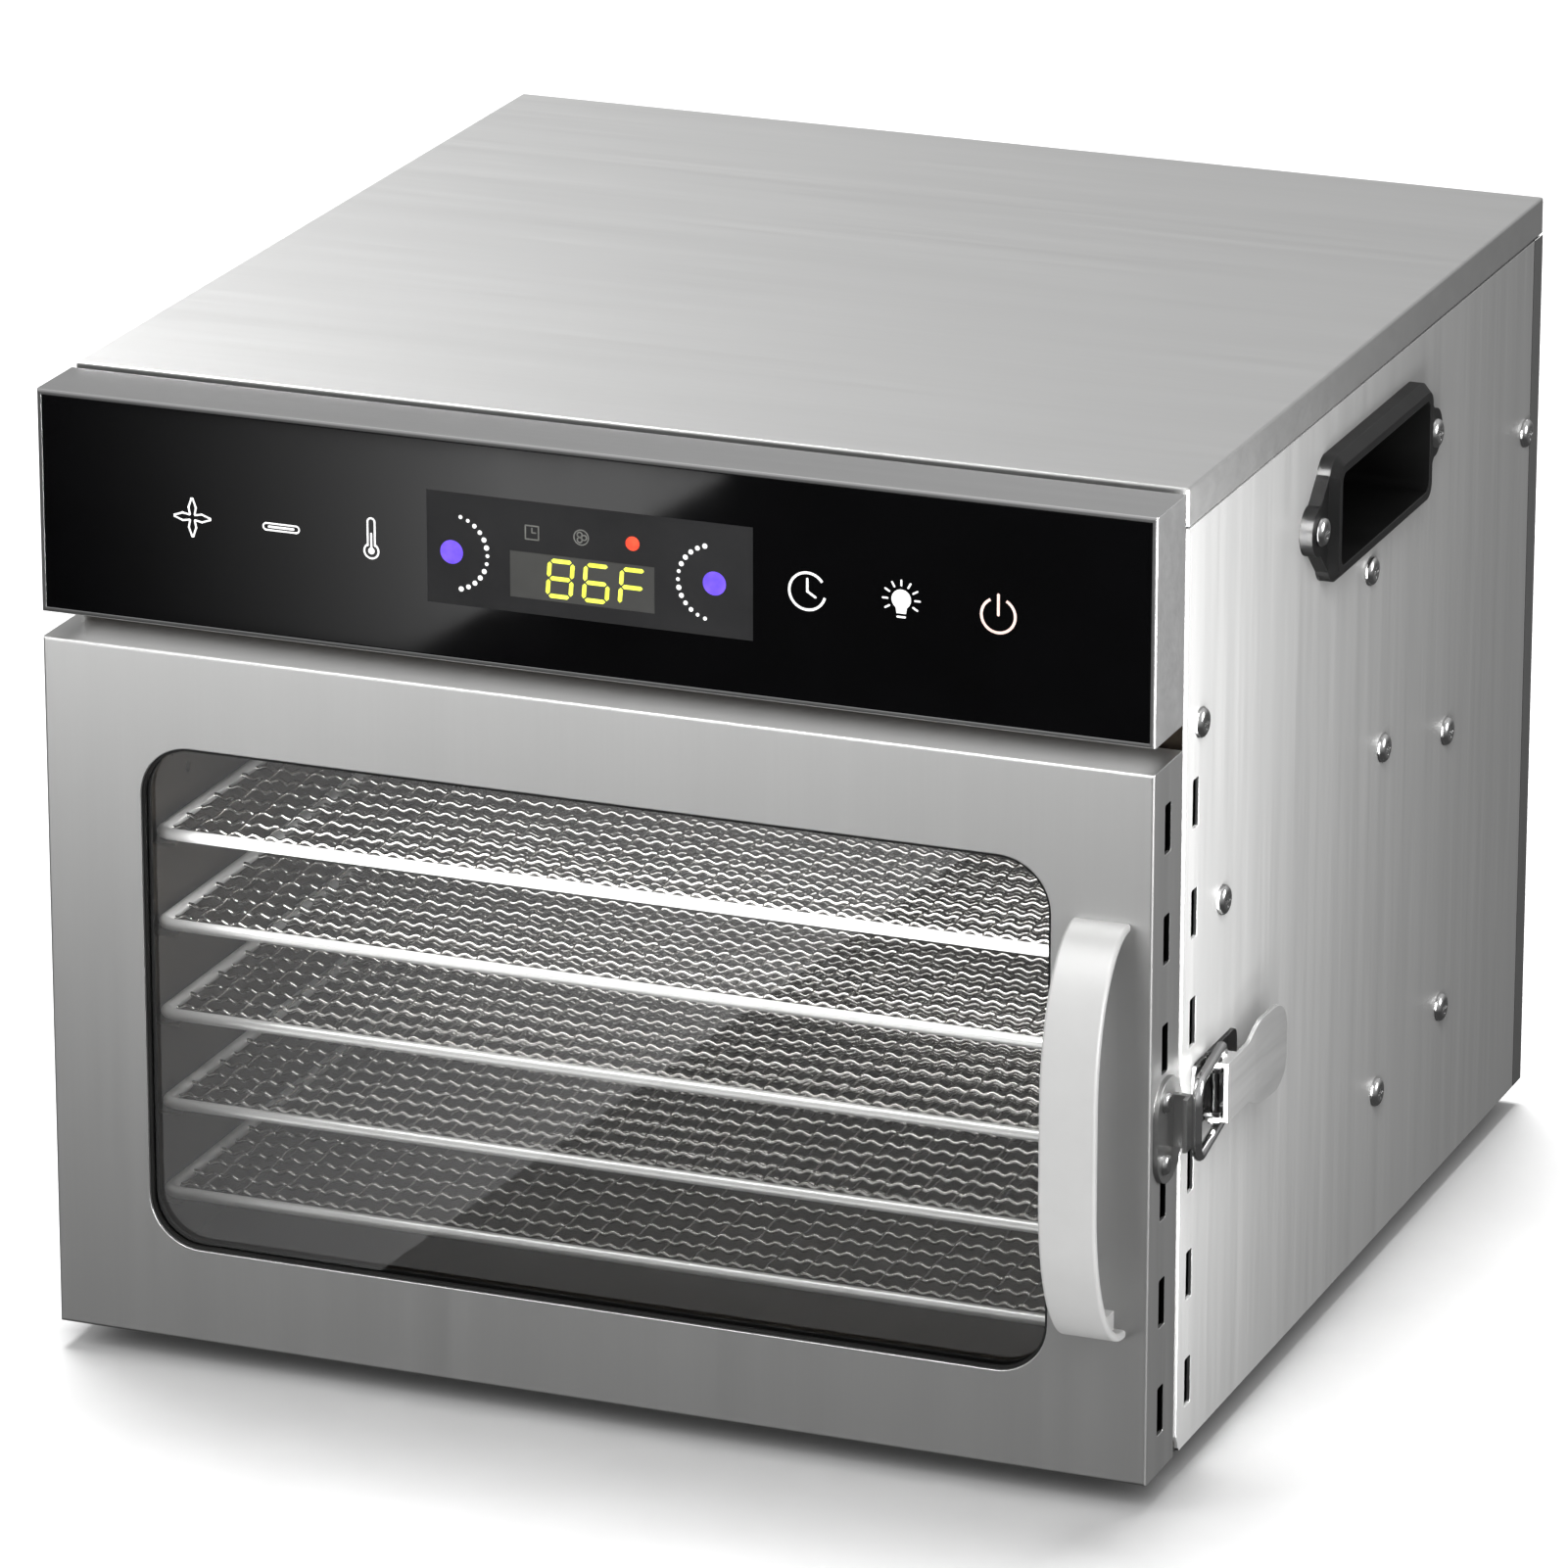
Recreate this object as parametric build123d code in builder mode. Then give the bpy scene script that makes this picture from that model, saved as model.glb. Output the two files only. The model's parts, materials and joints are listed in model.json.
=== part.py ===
"""A table-top food dehydrator: a sheet-steel cabinet with a drying chamber, a glass-fronted control
header, a hinged window door, sliding wire trays, and a rear fan and ring heater.

Millimetres, +Z up, +Y to the back, +X to the right as seen from the front. The origin is on the
surface that the feet stand on, under the middle of the whole appliance's box.
"""
from build123d import *
import os
from math import cos, radians, sin

os.makedirs("parts", exist_ok=True)

# ---------------------------------------------------------------- driving sizes
cabinet_width = 340.0
cabinet_depth = 328.0
cabinet_height = 288.0
foot_height = 8.0
foot_radius = 9.0
foot_inset = 30.0
foot_round = 1.2
foot_screw_head = 5.0
sheet = 1.0  # thickness of every bent steel panel
fold_radius = 0.8  # outer radius of a visible fold
seam = 0.8  # dark line left between neighbouring panels

front_depth = 26.0  # how far the door and the header stand in front of the cabinet
front_gap = 2.5  # shadow gap between them and the cabinet's front
door_height = 212.6
door_header_gap = 7.6
side_reach = 10.0  # hinge knuckles and latch both stand this far out of the sides
rear_reach = 2.0  # screw heads and inlet flange behind the rear panel

lid_flange = 11.0
rear_flange = 8.0
inner_flange = 12.0  # hidden joining flanges
toe_cut = 5.0  # cut corner at the foot of each side panel

window_width = 280.0
window_height = 155.0
window_radius = 16.0
glass_thickness = 4.0
glass_overlap = 6.0  # glass hidden behind the door's edge
gasket_lip = 1.0
gasket_wall = 3.0

handle_height = 124.0
handle_reach = 27.0
handle_width = 17.0
handle_thickness = 2.5
handle_bow = 48.0  # height over which each end curves out from the door
handle_edge_inset = 15.0  # from the handle's middle to the door's right edge
handle_boss = 6.0
handle_boss_width = 10.0
handle_screw_head = 3.4
handle_screw_length = 7.0
handle_boss_overlap = 0.6  # how far each boss is sunk into the strap
handle_boss_reach = 7.0

tray_count = 5
runner_count = 6
tray_pitch = 28.1
first_tray_height = 33.0  # middle of the lowest rim above the cabinet's bottom
tray_rim = 3.5
tray_depth = 250.0
tray_setback = 4.5  # front rim behind the cabinet's front
tray_side_clearance = 1.0
tray_rest_clearance = 0.3
tray_mesh = 0.5
tray_corner = 5.0
runner_reach = 9.0
runner_end_gap = 8.0  # runners stop short of the baffle

chamber_floor_height = 10.0
chamber_ceiling_height = 210.0
rack_gap = 16.0  # air gap between rack and side panel
standoff_radius = 5.0
baffle_setback = 268.0

slot_length = 14.7
slot_width = 5.0
slot_corner = 0.8
slot_centres = (-87.3, -54.5, -22.0, 22.0, 54.5, 87.3)  # from the door's mid height
slot_setback = 9.0

screw_head_radius = 4.4
screw_head_height = 2.0
screw_radius = 1.75
screw_length = 9.0
screw_clearance = 0.1
rivet_head_radius = 3.0
rivet_head_height = 1.4

carry_length = 92.0
carry_height = 38.0
carry_reach = 6.5
carry_border = 5.0
carry_depth = 26.0
carry_wall = 2.0
carry_frame_corner = 7.0
carry_pocket_corner = 4.0
carry_ear_spacing = 106.0
carry_ear_radius = 7.5
carry_shoulder_length = 88.0  # where the smooth shoulders leave the frame for the screw ears
carry_shoulder_height = 32.0
carry_ear_reach = 4.0
carry_setback = 157.0
carry_centre_height = 246.0
carry_bevel = 3.0

hinge_length = 36.0
hinge_knuckle_radius = 4.5
hinge_pin_radius = 1.6
hinge_pin_head = 2.6
hinge_screw_head = 2.9
hinge_leaf = 1.6
hinge_leaf_width = 15.0
hinge_end_inset = 26.0  # hinge end to the door's end
knuckle_count = 5
knuckle_gap = 0.4
running_fit = 0.05

latch_height = 105.5
latch_wire = 1.5
latch_clearance = 0.35
catch_length = 31.0
catch_width = 20.0
catch_sheet = 1.5
hook_height = 6.5
hook_setback = 10.0  # hook's wall ahead of the cabinet's front
hook_overhang = 3.5
hook_width = 16.0
lever_pivot_setback = 17.0
lever_pivot_out = 4.4
bail_pivot_setback = 24.0
bail_pivot_out = 4.0
lever_sheet = 1.2
lever_end_setback = 64.0
bail_half_height = 11.5

fan_radius = 58.0
fan_blades = 10
fan_blade_height = 12.0
fan_shaft_radius = 2.5
motor_radius = 30.0
motor_length = 26.0
heater_ring_radius = 76.0
heater_tube_radius = 4.0
clip_clearance = 0.05

# ---------------------------------------------------------------- places worked out from them
side = cabinet_width / 2  # outer face of the right side panel; the left one is at -side
whole_depth = handle_reach + front_depth + cabinet_depth + rear_reach
front = -whole_depth / 2 + handle_reach + front_depth  # the cabinet's front face
back = front + cabinet_depth
door_face = front - front_depth
door_back = front - front_gap
bottom = foot_height
top = bottom + cabinet_height
panel_top = top - lid_flange - seam  # top of the side and rear panels
panel_back = back - rear_flange - seam
door_top = bottom + door_height
door_middle = bottom + door_height / 2
header_bottom = door_top + door_header_gap
header_top = top - sheet
header_middle = (header_bottom + header_top) / 2
ceiling = bottom + chamber_ceiling_height
chamber_floor_top = bottom + chamber_floor_height
rack_inner = side - sheet - rack_gap - sheet
baffle_front = front + baffle_setback
fan_centre = (chamber_floor_top + ceiling) / 2
handle_x = side - handle_edge_inset
tray_levels = [bottom + first_tray_height + tray_pitch * i for i in range(runner_count)]


# ---------------------------------------------------------------- helpers
def block(low, high, mode=Mode.ADD):
    """A straight-sided block between two opposite corners, in the part being built."""
    with Locations(tuple((a + b) / 2 for a, b in zip(low, high))):
        Box(*(b - a for a, b in zip(low, high)), mode=mode)


def rod(centre, radius, length, along, mode=Mode.ADD):
    """A round bar centred on a point, lying along x, y or z."""
    turn = {"x": (0, 90, 0), "y": (90, 0, 0), "z": (0, 0, 0)}[along]
    with Locations(centre):
        Cylinder(radius, length, rotation=turn, mode=mode)


def facing(y):
    """The upright plane at y that faces the front, drawn with X across and Z up."""
    return Plane.XZ.offset(-y)


def save(piece, label):
    """Names a finished piece and writes it to its own file."""
    piece.part.label = label
    export_step(piece.part, f"parts/{label}.step")


def outward(sign):
    """The turn that points a screw's head out of the right (1) or left (-1) side."""
    return (0, 90 * sign, 0)


# Screws and rivets are drawn once, head up, with the underside of the head at the origin.
with BuildPart() as dome_screw:
    rod((0, 0, screw_head_height / 2), screw_head_radius, screw_head_height, "z")
    fillet(dome_screw.edges().filter_by(GeomType.CIRCLE).sort_by(Axis.Z)[-1], screw_head_height * 0.8)
    block((-2.0, -0.45, screw_head_height - 0.9), (2.0, 0.45, screw_head_height), mode=Mode.SUBTRACT)
    block((-0.45, -2.0, screw_head_height - 0.9), (0.45, 2.0, screw_head_height), mode=Mode.SUBTRACT)
    rod((0, 0, -screw_length / 2), screw_radius, screw_length, "z")

with BuildPart() as rivet:
    rod((0, 0, rivet_head_height / 2), rivet_head_radius, rivet_head_height, "z")
    fillet(rivet.edges().filter_by(GeomType.CIRCLE).sort_by(Axis.Z)[-1], rivet_head_height * 0.8)
    rod((0, 0, -sheet), screw_radius - screw_clearance, 2 * sheet, "z")

screw_hole = screw_radius + screw_clearance

# Screws through each side panel, as (setback from the front, height above the bottom): the first row
# holds the chamber's ceiling, the others the tray rack's standoffs.
ceiling_screws = [(12.0, chamber_ceiling_height + 6.5), (cabinet_depth / 2 - 1, chamber_ceiling_height + 6.5),
                  (cabinet_depth - 14.0, chamber_ceiling_height + 6.5)]
rack_screws = [(33.0, 157.0), (178.0, 157.0), (178.0, 48.0), (240.0, 143.0), (240.0, 54.0)]
side_screws = [(front + y, bottom + z) for y, z in ceiling_screws + rack_screws]
rack_points = [(front + y, bottom + z) for y, z in rack_screws]
carry_y = front + carry_setback
carry_z = bottom + carry_centre_height
carry_screws = [(carry_y + k * carry_ear_spacing / 2, carry_z) for k in (-1, 1)]

# ---------------------------------------------------------------- cabinet panels
with BuildPart() as lid:
    block((-side, front, top - lid_flange), (side, back, top))
    block((-side + sheet, front + sheet, top - lid_flange), (side - sheet, back - sheet, top - sheet),
          mode=Mode.SUBTRACT)
    fillet(lid.edges().filter_by(Axis.Z).filter_by_position(Axis.X, side - 0.01, side + 0.01), sheet * 0.9)
    fillet(lid.edges().filter_by(Axis.Z).filter_by_position(Axis.X, -side - 0.01, -side + 0.01), sheet * 0.9)
    fillet(lid.faces().sort_by(Axis.Z)[-1].edges(), fold_radius)
    lid_screw_xs = [k * (side - 30) for k in (-1, 0, 1)]
    for x in lid_screw_xs:
        rod((x, back, top - lid_flange / 2), screw_hole, 4 * sheet, "y", mode=Mode.SUBTRACT)
save(lid, "lid")

rear_column_x = side - 7.0
rear_column_zs = [bottom + h for h in (40.0, cabinet_height / 2, cabinet_height - 34.0)]
latch_rivets_at = [(front + y, bottom + latch_height) for y in (27.0, 40.0)]
hinge_middles = [bottom + hinge_end_inset + hinge_length / 2, door_top - hinge_end_inset - hinge_length / 2]
hinge_axis_x = -side - side_reach + hinge_knuckle_radius
hinge_axis_y = (front + door_back) / 2
hinge_screw_radius = 1.5
hinge_screw_zs = [z + k * hinge_length / 3.2 for z in hinge_middles for k in (-1, 1)]
hinge_cabinet_screw_y = front + hinge_leaf_width / 2 + 4
hinge_door_screw_y = door_back - hinge_leaf_width / 2 - 1


def side_panel(sign):
    """One side of the cabinet: a flat sheet with its hidden joining flanges, slots and holes."""
    outer = sign * side
    inner = sign * (side - sheet)
    deep = sign * (side - 2 * sheet)
    with BuildPart() as panel:
        with BuildSketch(Plane.YZ.offset(min(outer, inner))) as outline:
            with BuildLine():
                Polyline((front, bottom + toe_cut), (front, panel_top), (panel_back, panel_top),
                         (panel_back, bottom), (front + toe_cut / 2, bottom), close=True)
            make_face()
            with Locations(*[(front + slot_setback, door_middle + z) for z in slot_centres]):
                RectangleRounded(slot_width, slot_length, slot_corner, mode=Mode.SUBTRACT)
            with Locations(*(side_screws + carry_screws)):
                Circle(screw_hole, mode=Mode.SUBTRACT)
            with Locations((carry_y, carry_z)):
                RectangleRounded(carry_length - carry_border, carry_height - carry_border, carry_pocket_corner,
                                 mode=Mode.SUBTRACT)
            if sign > 0:
                with Locations(*latch_rivets_at):
                    Circle(screw_hole, mode=Mode.SUBTRACT)
            else:
                with Locations(*[(hinge_cabinet_screw_y, z) for z in hinge_screw_zs]):
                    Circle(hinge_screw_radius + screw_clearance, mode=Mode.SUBTRACT)
        extrude(outline.sketch, amount=sheet)
        low, high = sorted((inner, sign * (side - inner_flange)))
        block((low, front + sheet, panel_top - sheet), (high, panel_back, panel_top))
        low, high = sorted((inner, deep))
        block((low, panel_back - inner_flange, chamber_floor_top), (high, back - sheet, panel_top - 2 * sheet))
        low, high = sorted((deep, sign * (side - inner_flange)))
        block((low, back - 2 * sheet, chamber_floor_top), (high, back - sheet, panel_top - 2 * sheet))
        for z in rear_column_zs:
            rod((sign * rear_column_x, back - 1.5 * sheet, z), screw_hole, 4 * sheet, "y", mode=Mode.SUBTRACT)
        for y, z in side_screws:
            rod((inner, y, z), screw_hole, 6 * sheet, "x", mode=Mode.SUBTRACT)
    return panel


side_panel_right = side_panel(1)
save(side_panel_right, "side_panel_right")
side_panel_left = side_panel(-1)
save(side_panel_left, "side_panel_left")

with BuildPart() as rear_panel:
    block((-side, back - rear_flange, bottom), (side, back, panel_top))
    block((-side + sheet, back - rear_flange, bottom + sheet), (side - sheet, back - sheet, panel_top - sheet),
          mode=Mode.SUBTRACT)
    block((-side + inner_flange, back - 2 * sheet, panel_top - sheet),
          (side - inner_flange, back - sheet, top - 2 * sheet))
    for x in lid_screw_xs:
        rod((x, back - sheet, top - lid_flange / 2), screw_hole, 6 * sheet, "y", mode=Mode.SUBTRACT)
    for x in (-rear_column_x, rear_column_x):
        for z in rear_column_zs:
            rod((x, back, z), screw_hole, 4 * sheet, "y", mode=Mode.SUBTRACT)
    # Air inlet: a round field of slots in front of the fan, and a row of vents for the upper bay.
    vent_length, vent_height, vent_pitch, vent_rows = 26.0, 4.0, 10.0, 9
    with BuildSketch(facing(back - sheet)):
        with Locations((0, fan_centre)):
            with GridLocations(vent_length + 8, vent_pitch, 3, vent_rows):
                SlotOverall(vent_length, vent_height)
        with Locations((0, bottom + carry_centre_height)):
            with GridLocations(vent_length + 8, vent_pitch, 6, 2):
                SlotOverall(vent_length, vent_height)
    extrude(amount=-sheet, mode=Mode.SUBTRACT)
    # Hole for the mains inlet, low on the left as seen from the front.
    inlet_x, inlet_z = -side + 62.0, bottom + 42.0
    inlet_width, inlet_height, inlet_body_depth = 27.0, 20.0, 20.0
    block((inlet_x - inlet_width / 2, back - sheet, inlet_z - inlet_height / 2),
          (inlet_x + inlet_width / 2, back, inlet_z + inlet_height / 2), mode=Mode.SUBTRACT)
    inlet_screw_spacing = 40.0
    inlet_screw_xs = [inlet_x + k * inlet_screw_spacing / 2 for k in (-1, 1)]
    for x in inlet_screw_xs:
        rod((x, back, inlet_z), screw_hole, 4 * sheet, "y", mode=Mode.SUBTRACT)
save(rear_panel, "rear_panel")

foot_points = [(sx * (side - foot_inset), y) for sx in (-1, 1) for y in (front + foot_inset, back - foot_inset)]

with BuildPart() as base_panel:
    # A floor with turned-up flanges at the sides.
    block((-side + sheet, front + sheet, bottom), (side - sheet, back - rear_flange, bottom + sheet))
    for sx in (-1, 1):
        low, high = sorted((sx * (side - sheet), sx * (side - 2 * sheet)))
        block((low, front + sheet, bottom), (high, panel_back, bottom + chamber_floor_height - 2 * sheet))
    for x, y in foot_points:
        rod((x, y, bottom), screw_hole, 4 * sheet, "z", mode=Mode.SUBTRACT)
save(base_panel, "base_panel")

mouth_half_width = rack_inner
mouth_bottom = chamber_floor_top + 2.0
mouth_top = ceiling - 2.0
with BuildPart() as front_frame:
    block((-side + sheet, front, bottom + sheet), (side - sheet, front + sheet, panel_top))
    block((-mouth_half_width, front, mouth_bottom), (mouth_half_width, front + sheet, mouth_top),
          mode=Mode.SUBTRACT)
    # Opening behind the header for the wires between the panels and the upper bay.
    wire_opening_half_width, wire_opening_half_height = 110.0, 20.0
    block((-wire_opening_half_width, front, header_middle - wire_opening_half_height),
          (wire_opening_half_width, front + sheet, header_middle + wire_opening_half_height),
          mode=Mode.SUBTRACT)
save(front_frame, "front_frame")

# ---------------------------------------------------------------- drying chamber
power_board_posts = [(x, front + 120.0 + y) for x in (-70.0, 70.0) for y in (-40.0, 40.0)]
lamp_x, lamp_y, lamp_radius = 105.0, front + 60.0, 15.0
lamp_base_height, lens_drop = 4.0, 9.0
with BuildPart() as divider_plate:
    # Ceiling of the chamber and floor of the upper bay, with turned-up sides.
    block((-side + sheet, front + sheet, ceiling), (side - sheet, back - sheet, ceiling + sheet))
    for sx in (-1, 1):
        low, high = sorted((sx * (side - sheet), sx * (side - 2 * sheet)))
        block((low, front + sheet, ceiling), (high, panel_back - inner_flange, ceiling + inner_flange))
        for y, z in side_screws[:len(ceiling_screws)]:
            rod((sx * (side - sheet), y, z), screw_hole, 4 * sheet, "x", mode=Mode.SUBTRACT)
        block((low, panel_back - inner_flange, ceiling), (high, back - sheet, ceiling + sheet),
              mode=Mode.SUBTRACT)
        low, high = sorted((sx * (side - sheet), sx * (side - inner_flange)))
        block((low, back - 2 * sheet, ceiling), (high, back - sheet, ceiling + sheet), mode=Mode.SUBTRACT)
save(divider_plate, "divider_plate")

with BuildPart() as chamber_floor:
    # A false floor on two long turned-down legs, above the base.
    reach = rack_inner + 2 * sheet
    block((-reach, front + sheet, chamber_floor_top - sheet), (reach, back - sheet, chamber_floor_top))
    for sx in (-1, 1):
        low, high = sorted((sx * reach, sx * (reach - sheet)))
        block((low, front + sheet, bottom + sheet), (high, back - rear_flange, chamber_floor_top))
save(chamber_floor, "chamber_floor")

runner_top = [z - tray_rim / 2 - tray_rest_clearance for z in tray_levels]


def tray_rack(sign):
    """One side wall of the chamber with its ledges; the standoffs are bored through behind it."""
    inner = sign * rack_inner
    outer = sign * (rack_inner + sheet)
    low, high = sorted((inner, outer))
    with BuildPart() as rack:
        block((low, front + sheet, chamber_floor_top), (high, baffle_front, ceiling))
        low, high = sorted((inner, sign * (rack_inner - runner_reach)))
        for z in runner_top:
            block((low, front + tray_setback, z - sheet), (high, baffle_front - runner_end_gap, z))
        for y, z in rack_points:
            rod((inner, y, z), screw_hole, 4 * sheet, "x", mode=Mode.SUBTRACT)
    return rack


tray_rack_right = tray_rack(1)
save(tray_rack_right, "tray_rack_right")
tray_rack_left = tray_rack(-1)
save(tray_rack_left, "tray_rack_left")

with BuildPart() as rack_standoffs:
    # Hexagonal threaded spacers between each rack and its side panel.
    for sx in (-1, 1):
        with BuildSketch(Plane.YZ.offset(min(sx * (rack_inner + sheet), sx * (side - sheet)))):
            with Locations(*rack_points):
                RegularPolygon(standoff_radius, 6)
                Circle(screw_hole, mode=Mode.SUBTRACT)
        extrude(amount=rack_gap)
save(rack_standoffs, "rack_standoffs")

with BuildPart() as fan_baffle:
    # Plate between the chamber and the fan: a round intake grille and outlet slots along both edges.
    baffle_flange = 8.0
    block((-rack_inner, baffle_front, chamber_floor_top), (rack_inner, baffle_front + sheet, ceiling))
    for z0, z1 in ((chamber_floor_top, chamber_floor_top + sheet), (ceiling - sheet, ceiling)):
        block((-rack_inner, baffle_front, z0), (rack_inner, baffle_front + baffle_flange, z1))
    intake_hole, intake_rings, intake_pitch = 3.2, 6, 8.5
    with BuildSketch(facing(baffle_front)):
        with Locations((0, fan_centre)):
            Circle(intake_hole)
            for ring in range(1, intake_rings + 1):
                with PolarLocations(ring * intake_pitch, 6 * ring):
                    Circle(intake_hole)
        outlet_height, outlet_width, outlet_rows, outlet_pitch = 20.0, 5.0, 7, 25.5
        outlet_inset, outlet_column_pitch = 24.0, 14.0
        for sx in (-1, 1):
            with Locations((sx * (rack_inner - outlet_inset), fan_centre)):
                with GridLocations(outlet_column_pitch, outlet_pitch, 3, outlet_rows):
                    SlotOverall(outlet_height, outlet_width, rotation=90)
    extrude(amount=-sheet, mode=Mode.SUBTRACT)
    probe_x, probe_z = 78.0, ceiling - 14.0
    probe_radius = 2.0
    rod((probe_x, baffle_front, probe_z), probe_radius, 4 * sheet, "y", mode=Mode.SUBTRACT)
save(fan_baffle, "fan_baffle")

with BuildPart() as lamp_holder:
    with BuildSketch(Plane.XY.offset(ceiling)):
        with Locations((lamp_x, lamp_y)):
            Circle(lamp_radius)
    extrude(amount=-lamp_base_height)
save(lamp_holder, "lamp_holder")

with BuildPart() as lamp_lens:
    rod((lamp_x, lamp_y, ceiling - lamp_base_height - lens_drop / 2), lamp_radius - 2, lens_drop, "z")
    fillet(lamp_lens.edges().filter_by(GeomType.CIRCLE).sort_by(Axis.Z)[0], lens_drop * 0.8)
save(lamp_lens, "lamp_lens")

with BuildPart() as temperature_probe:
    probe_length, probe_tail, probe_fit = 34.0, 4.0, 0.02
    nut_radius, nut_height = 4.5, 3.0
    rod((probe_x, baffle_front - probe_length / 2 + probe_tail, probe_z), probe_radius - probe_fit,
        probe_length, "y")
    rod((probe_x, baffle_front - nut_height / 2, probe_z), nut_radius, nut_height, "y")
save(temperature_probe, "temperature_probe")

# ---------------------------------------------------------------- fan and heater
impeller_front = baffle_front + 5.0
impeller_back = impeller_front + fan_blade_height + sheet
motor_front = impeller_back + 4.0
motor_back = motor_front + motor_length
with BuildPart() as fan_rotor:
    # A stamped disc with turned-up paddles, a hub and the motor's shaft.
    rod((0, impeller_back - sheet / 2, fan_centre), fan_radius, sheet, "y")
    hub_radius, hub_length, shaft_in_motor = 9.0, 10.0, 12.0
    shaft_end = motor_front + shaft_in_motor
    rod((0, impeller_back - hub_length / 2, fan_centre), hub_radius, hub_length, "y")
    rod((0, (impeller_front + shaft_end) / 2, fan_centre), fan_shaft_radius, shaft_end - impeller_front, "y")
    with BuildSketch(facing(impeller_back - sheet)):
        with Locations((0, fan_centre)):
            with PolarLocations(fan_radius * 0.66, fan_blades):
                Rectangle(fan_radius * 0.6, sheet)
    extrude(amount=fan_blade_height)
save(fan_rotor, "fan_rotor")

with BuildPart() as fan_motor:
    rod((0, (motor_front + motor_back) / 2, fan_centre), motor_radius, motor_length, "y")
    fillet(fan_motor.edges().filter_by(GeomType.CIRCLE), 2.0)
    bore_depth = shaft_in_motor + 2
    rod((0, motor_front + bore_depth / 2, fan_centre), fan_shaft_radius + running_fit, bore_depth, "y",
        mode=Mode.SUBTRACT)
save(fan_motor, "fan_motor")

with BuildPart() as motor_bracket:
    # A bridge behind the motor with a foot at each end on the rear panel.
    bridge_half, bridge_half_width, bridge_sheet, bridge_foot = 62.0, 11.0, 1.5, 14.0
    block((-bridge_half, motor_back, fan_centre - bridge_half_width),
          (bridge_half, motor_back + bridge_sheet, fan_centre + bridge_half_width))
    for sx in (-1, 1):
        low, high = sorted((sx * bridge_half, sx * (bridge_half - bridge_sheet)))
        block((low, motor_back, fan_centre - bridge_half_width),
              (high, back - sheet, fan_centre + bridge_half_width))
        low, high = sorted((sx * bridge_half, sx * (bridge_half + bridge_foot)))
        block((low, back - sheet - bridge_sheet, fan_centre - bridge_half_width),
              (high, back - sheet, fan_centre + bridge_half_width))
save(motor_bracket, "motor_bracket")

heater_y = impeller_front + fan_blade_height / 2
heater_sweep = 320.0
heater_tail = 22.0  # the turned-back ends
with BuildPart() as heater_element:
    # One open ring of sheathed tube round the impeller, its two ends turned to the back.
    with BuildSketch(Plane.XY.offset(fan_centre)):
        with Locations((heater_ring_radius, heater_y)):
            Circle(heater_tube_radius)
    revolve(axis=Axis((0, heater_y, fan_centre), (0, 1, 0)), revolution_arc=heater_sweep)
    for turn in (0, heater_sweep):
        x = heater_ring_radius * cos(radians(turn))
        z = fan_centre - heater_ring_radius * sin(radians(turn))
        with Locations((x, heater_y, z)):
            Sphere(heater_tube_radius)
        rod((x, heater_y + heater_tail / 2, z), heater_tube_radius, heater_tail, "y")
save(heater_element, "heater_element")

with BuildPart() as heater_clips:
    # Saddles that hold the ring off the baffle.
    clip_half = 5.0
    for turn in (90, 160, 230):
        x = heater_ring_radius * cos(radians(turn))
        z = fan_centre - heater_ring_radius * sin(radians(turn))
        block((x - clip_half, baffle_front + sheet, z - clip_half), (x + clip_half, heater_y, z + clip_half))
    with BuildSketch(Plane.XY.offset(fan_centre)):
        with Locations((heater_ring_radius, heater_y)):
            Circle(heater_tube_radius + clip_clearance)
    revolve(axis=Axis((0, heater_y, fan_centre), (0, 1, 0)), revolution_arc=360, mode=Mode.SUBTRACT)
save(heater_clips, "heater_clips")

with BuildPart() as thermal_cutout:
    cutout_x, cutout_z = -112.0, ceiling - 30.0
    can_radius, can_height, cap_radius, cap_height = 8.0, 6.0, 5.0, 4.0
    can_top = baffle_front + sheet + can_height
    rod((cutout_x, can_top - can_height / 2, cutout_z), can_radius, can_height, "y")
    rod((cutout_x, can_top + cap_height / 2, cutout_z), cap_radius, cap_height, "y")
save(thermal_cutout, "thermal_cutout")

# ---------------------------------------------------------------- control header
header_wall = 1.5
root_inset = 1.0  # hidden ledges and strips start this far inside the tube's outside
ledge_reach = 4.0  # the glass ledge's inner edge, from the tube's outside
collar_inset = 3.0
collar_drop = 2.5
collar_overlap = 3.0  # how far the collar reaches into the tube
header_glass_back = door_face + glass_thickness
with BuildPart() as header_frame:
    # A rectangular tube with a ledge for the glass and a narrower collar against the cabinet.
    block((-side, door_face, header_bottom), (side, door_back, header_top))
    block((-side + header_wall, door_face, header_bottom + header_wall),
          (side - header_wall, door_back, header_top - header_wall), mode=Mode.SUBTRACT)
    fillet(header_frame.faces().sort_by(Axis.Y)[0].outer_wire().edges(), fold_radius)
    block((-side + root_inset, header_glass_back, header_bottom + root_inset),
          (side - root_inset, header_glass_back + sheet, header_top - root_inset))
    block((-side + ledge_reach, header_glass_back, header_bottom + ledge_reach),
          (side - ledge_reach, header_glass_back + sheet, header_top - ledge_reach), mode=Mode.SUBTRACT)
    collar_start = door_back - collar_overlap
    block((-side + collar_inset, collar_start, header_bottom + root_inset),
          (side - collar_inset, front, header_top - collar_drop))
    block((-side + collar_inset + header_wall, collar_start, header_bottom + root_inset + header_wall),
          (side - collar_inset - header_wall, front, header_top - collar_drop - header_wall),
          mode=Mode.SUBTRACT)
    # Strips that join the collar to the tube.
    for sx in (-1, 1):
        low, high = sorted((sx * (side - root_inset), sx * (side - collar_inset)))
        block((low, collar_start, header_bottom + root_inset),
              (high, door_back - header_wall, header_top - root_inset))
    block((-side + root_inset, collar_start, header_top - collar_drop - 0.1),
          (side - root_inset, door_back - header_wall, header_top - root_inset))
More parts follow.
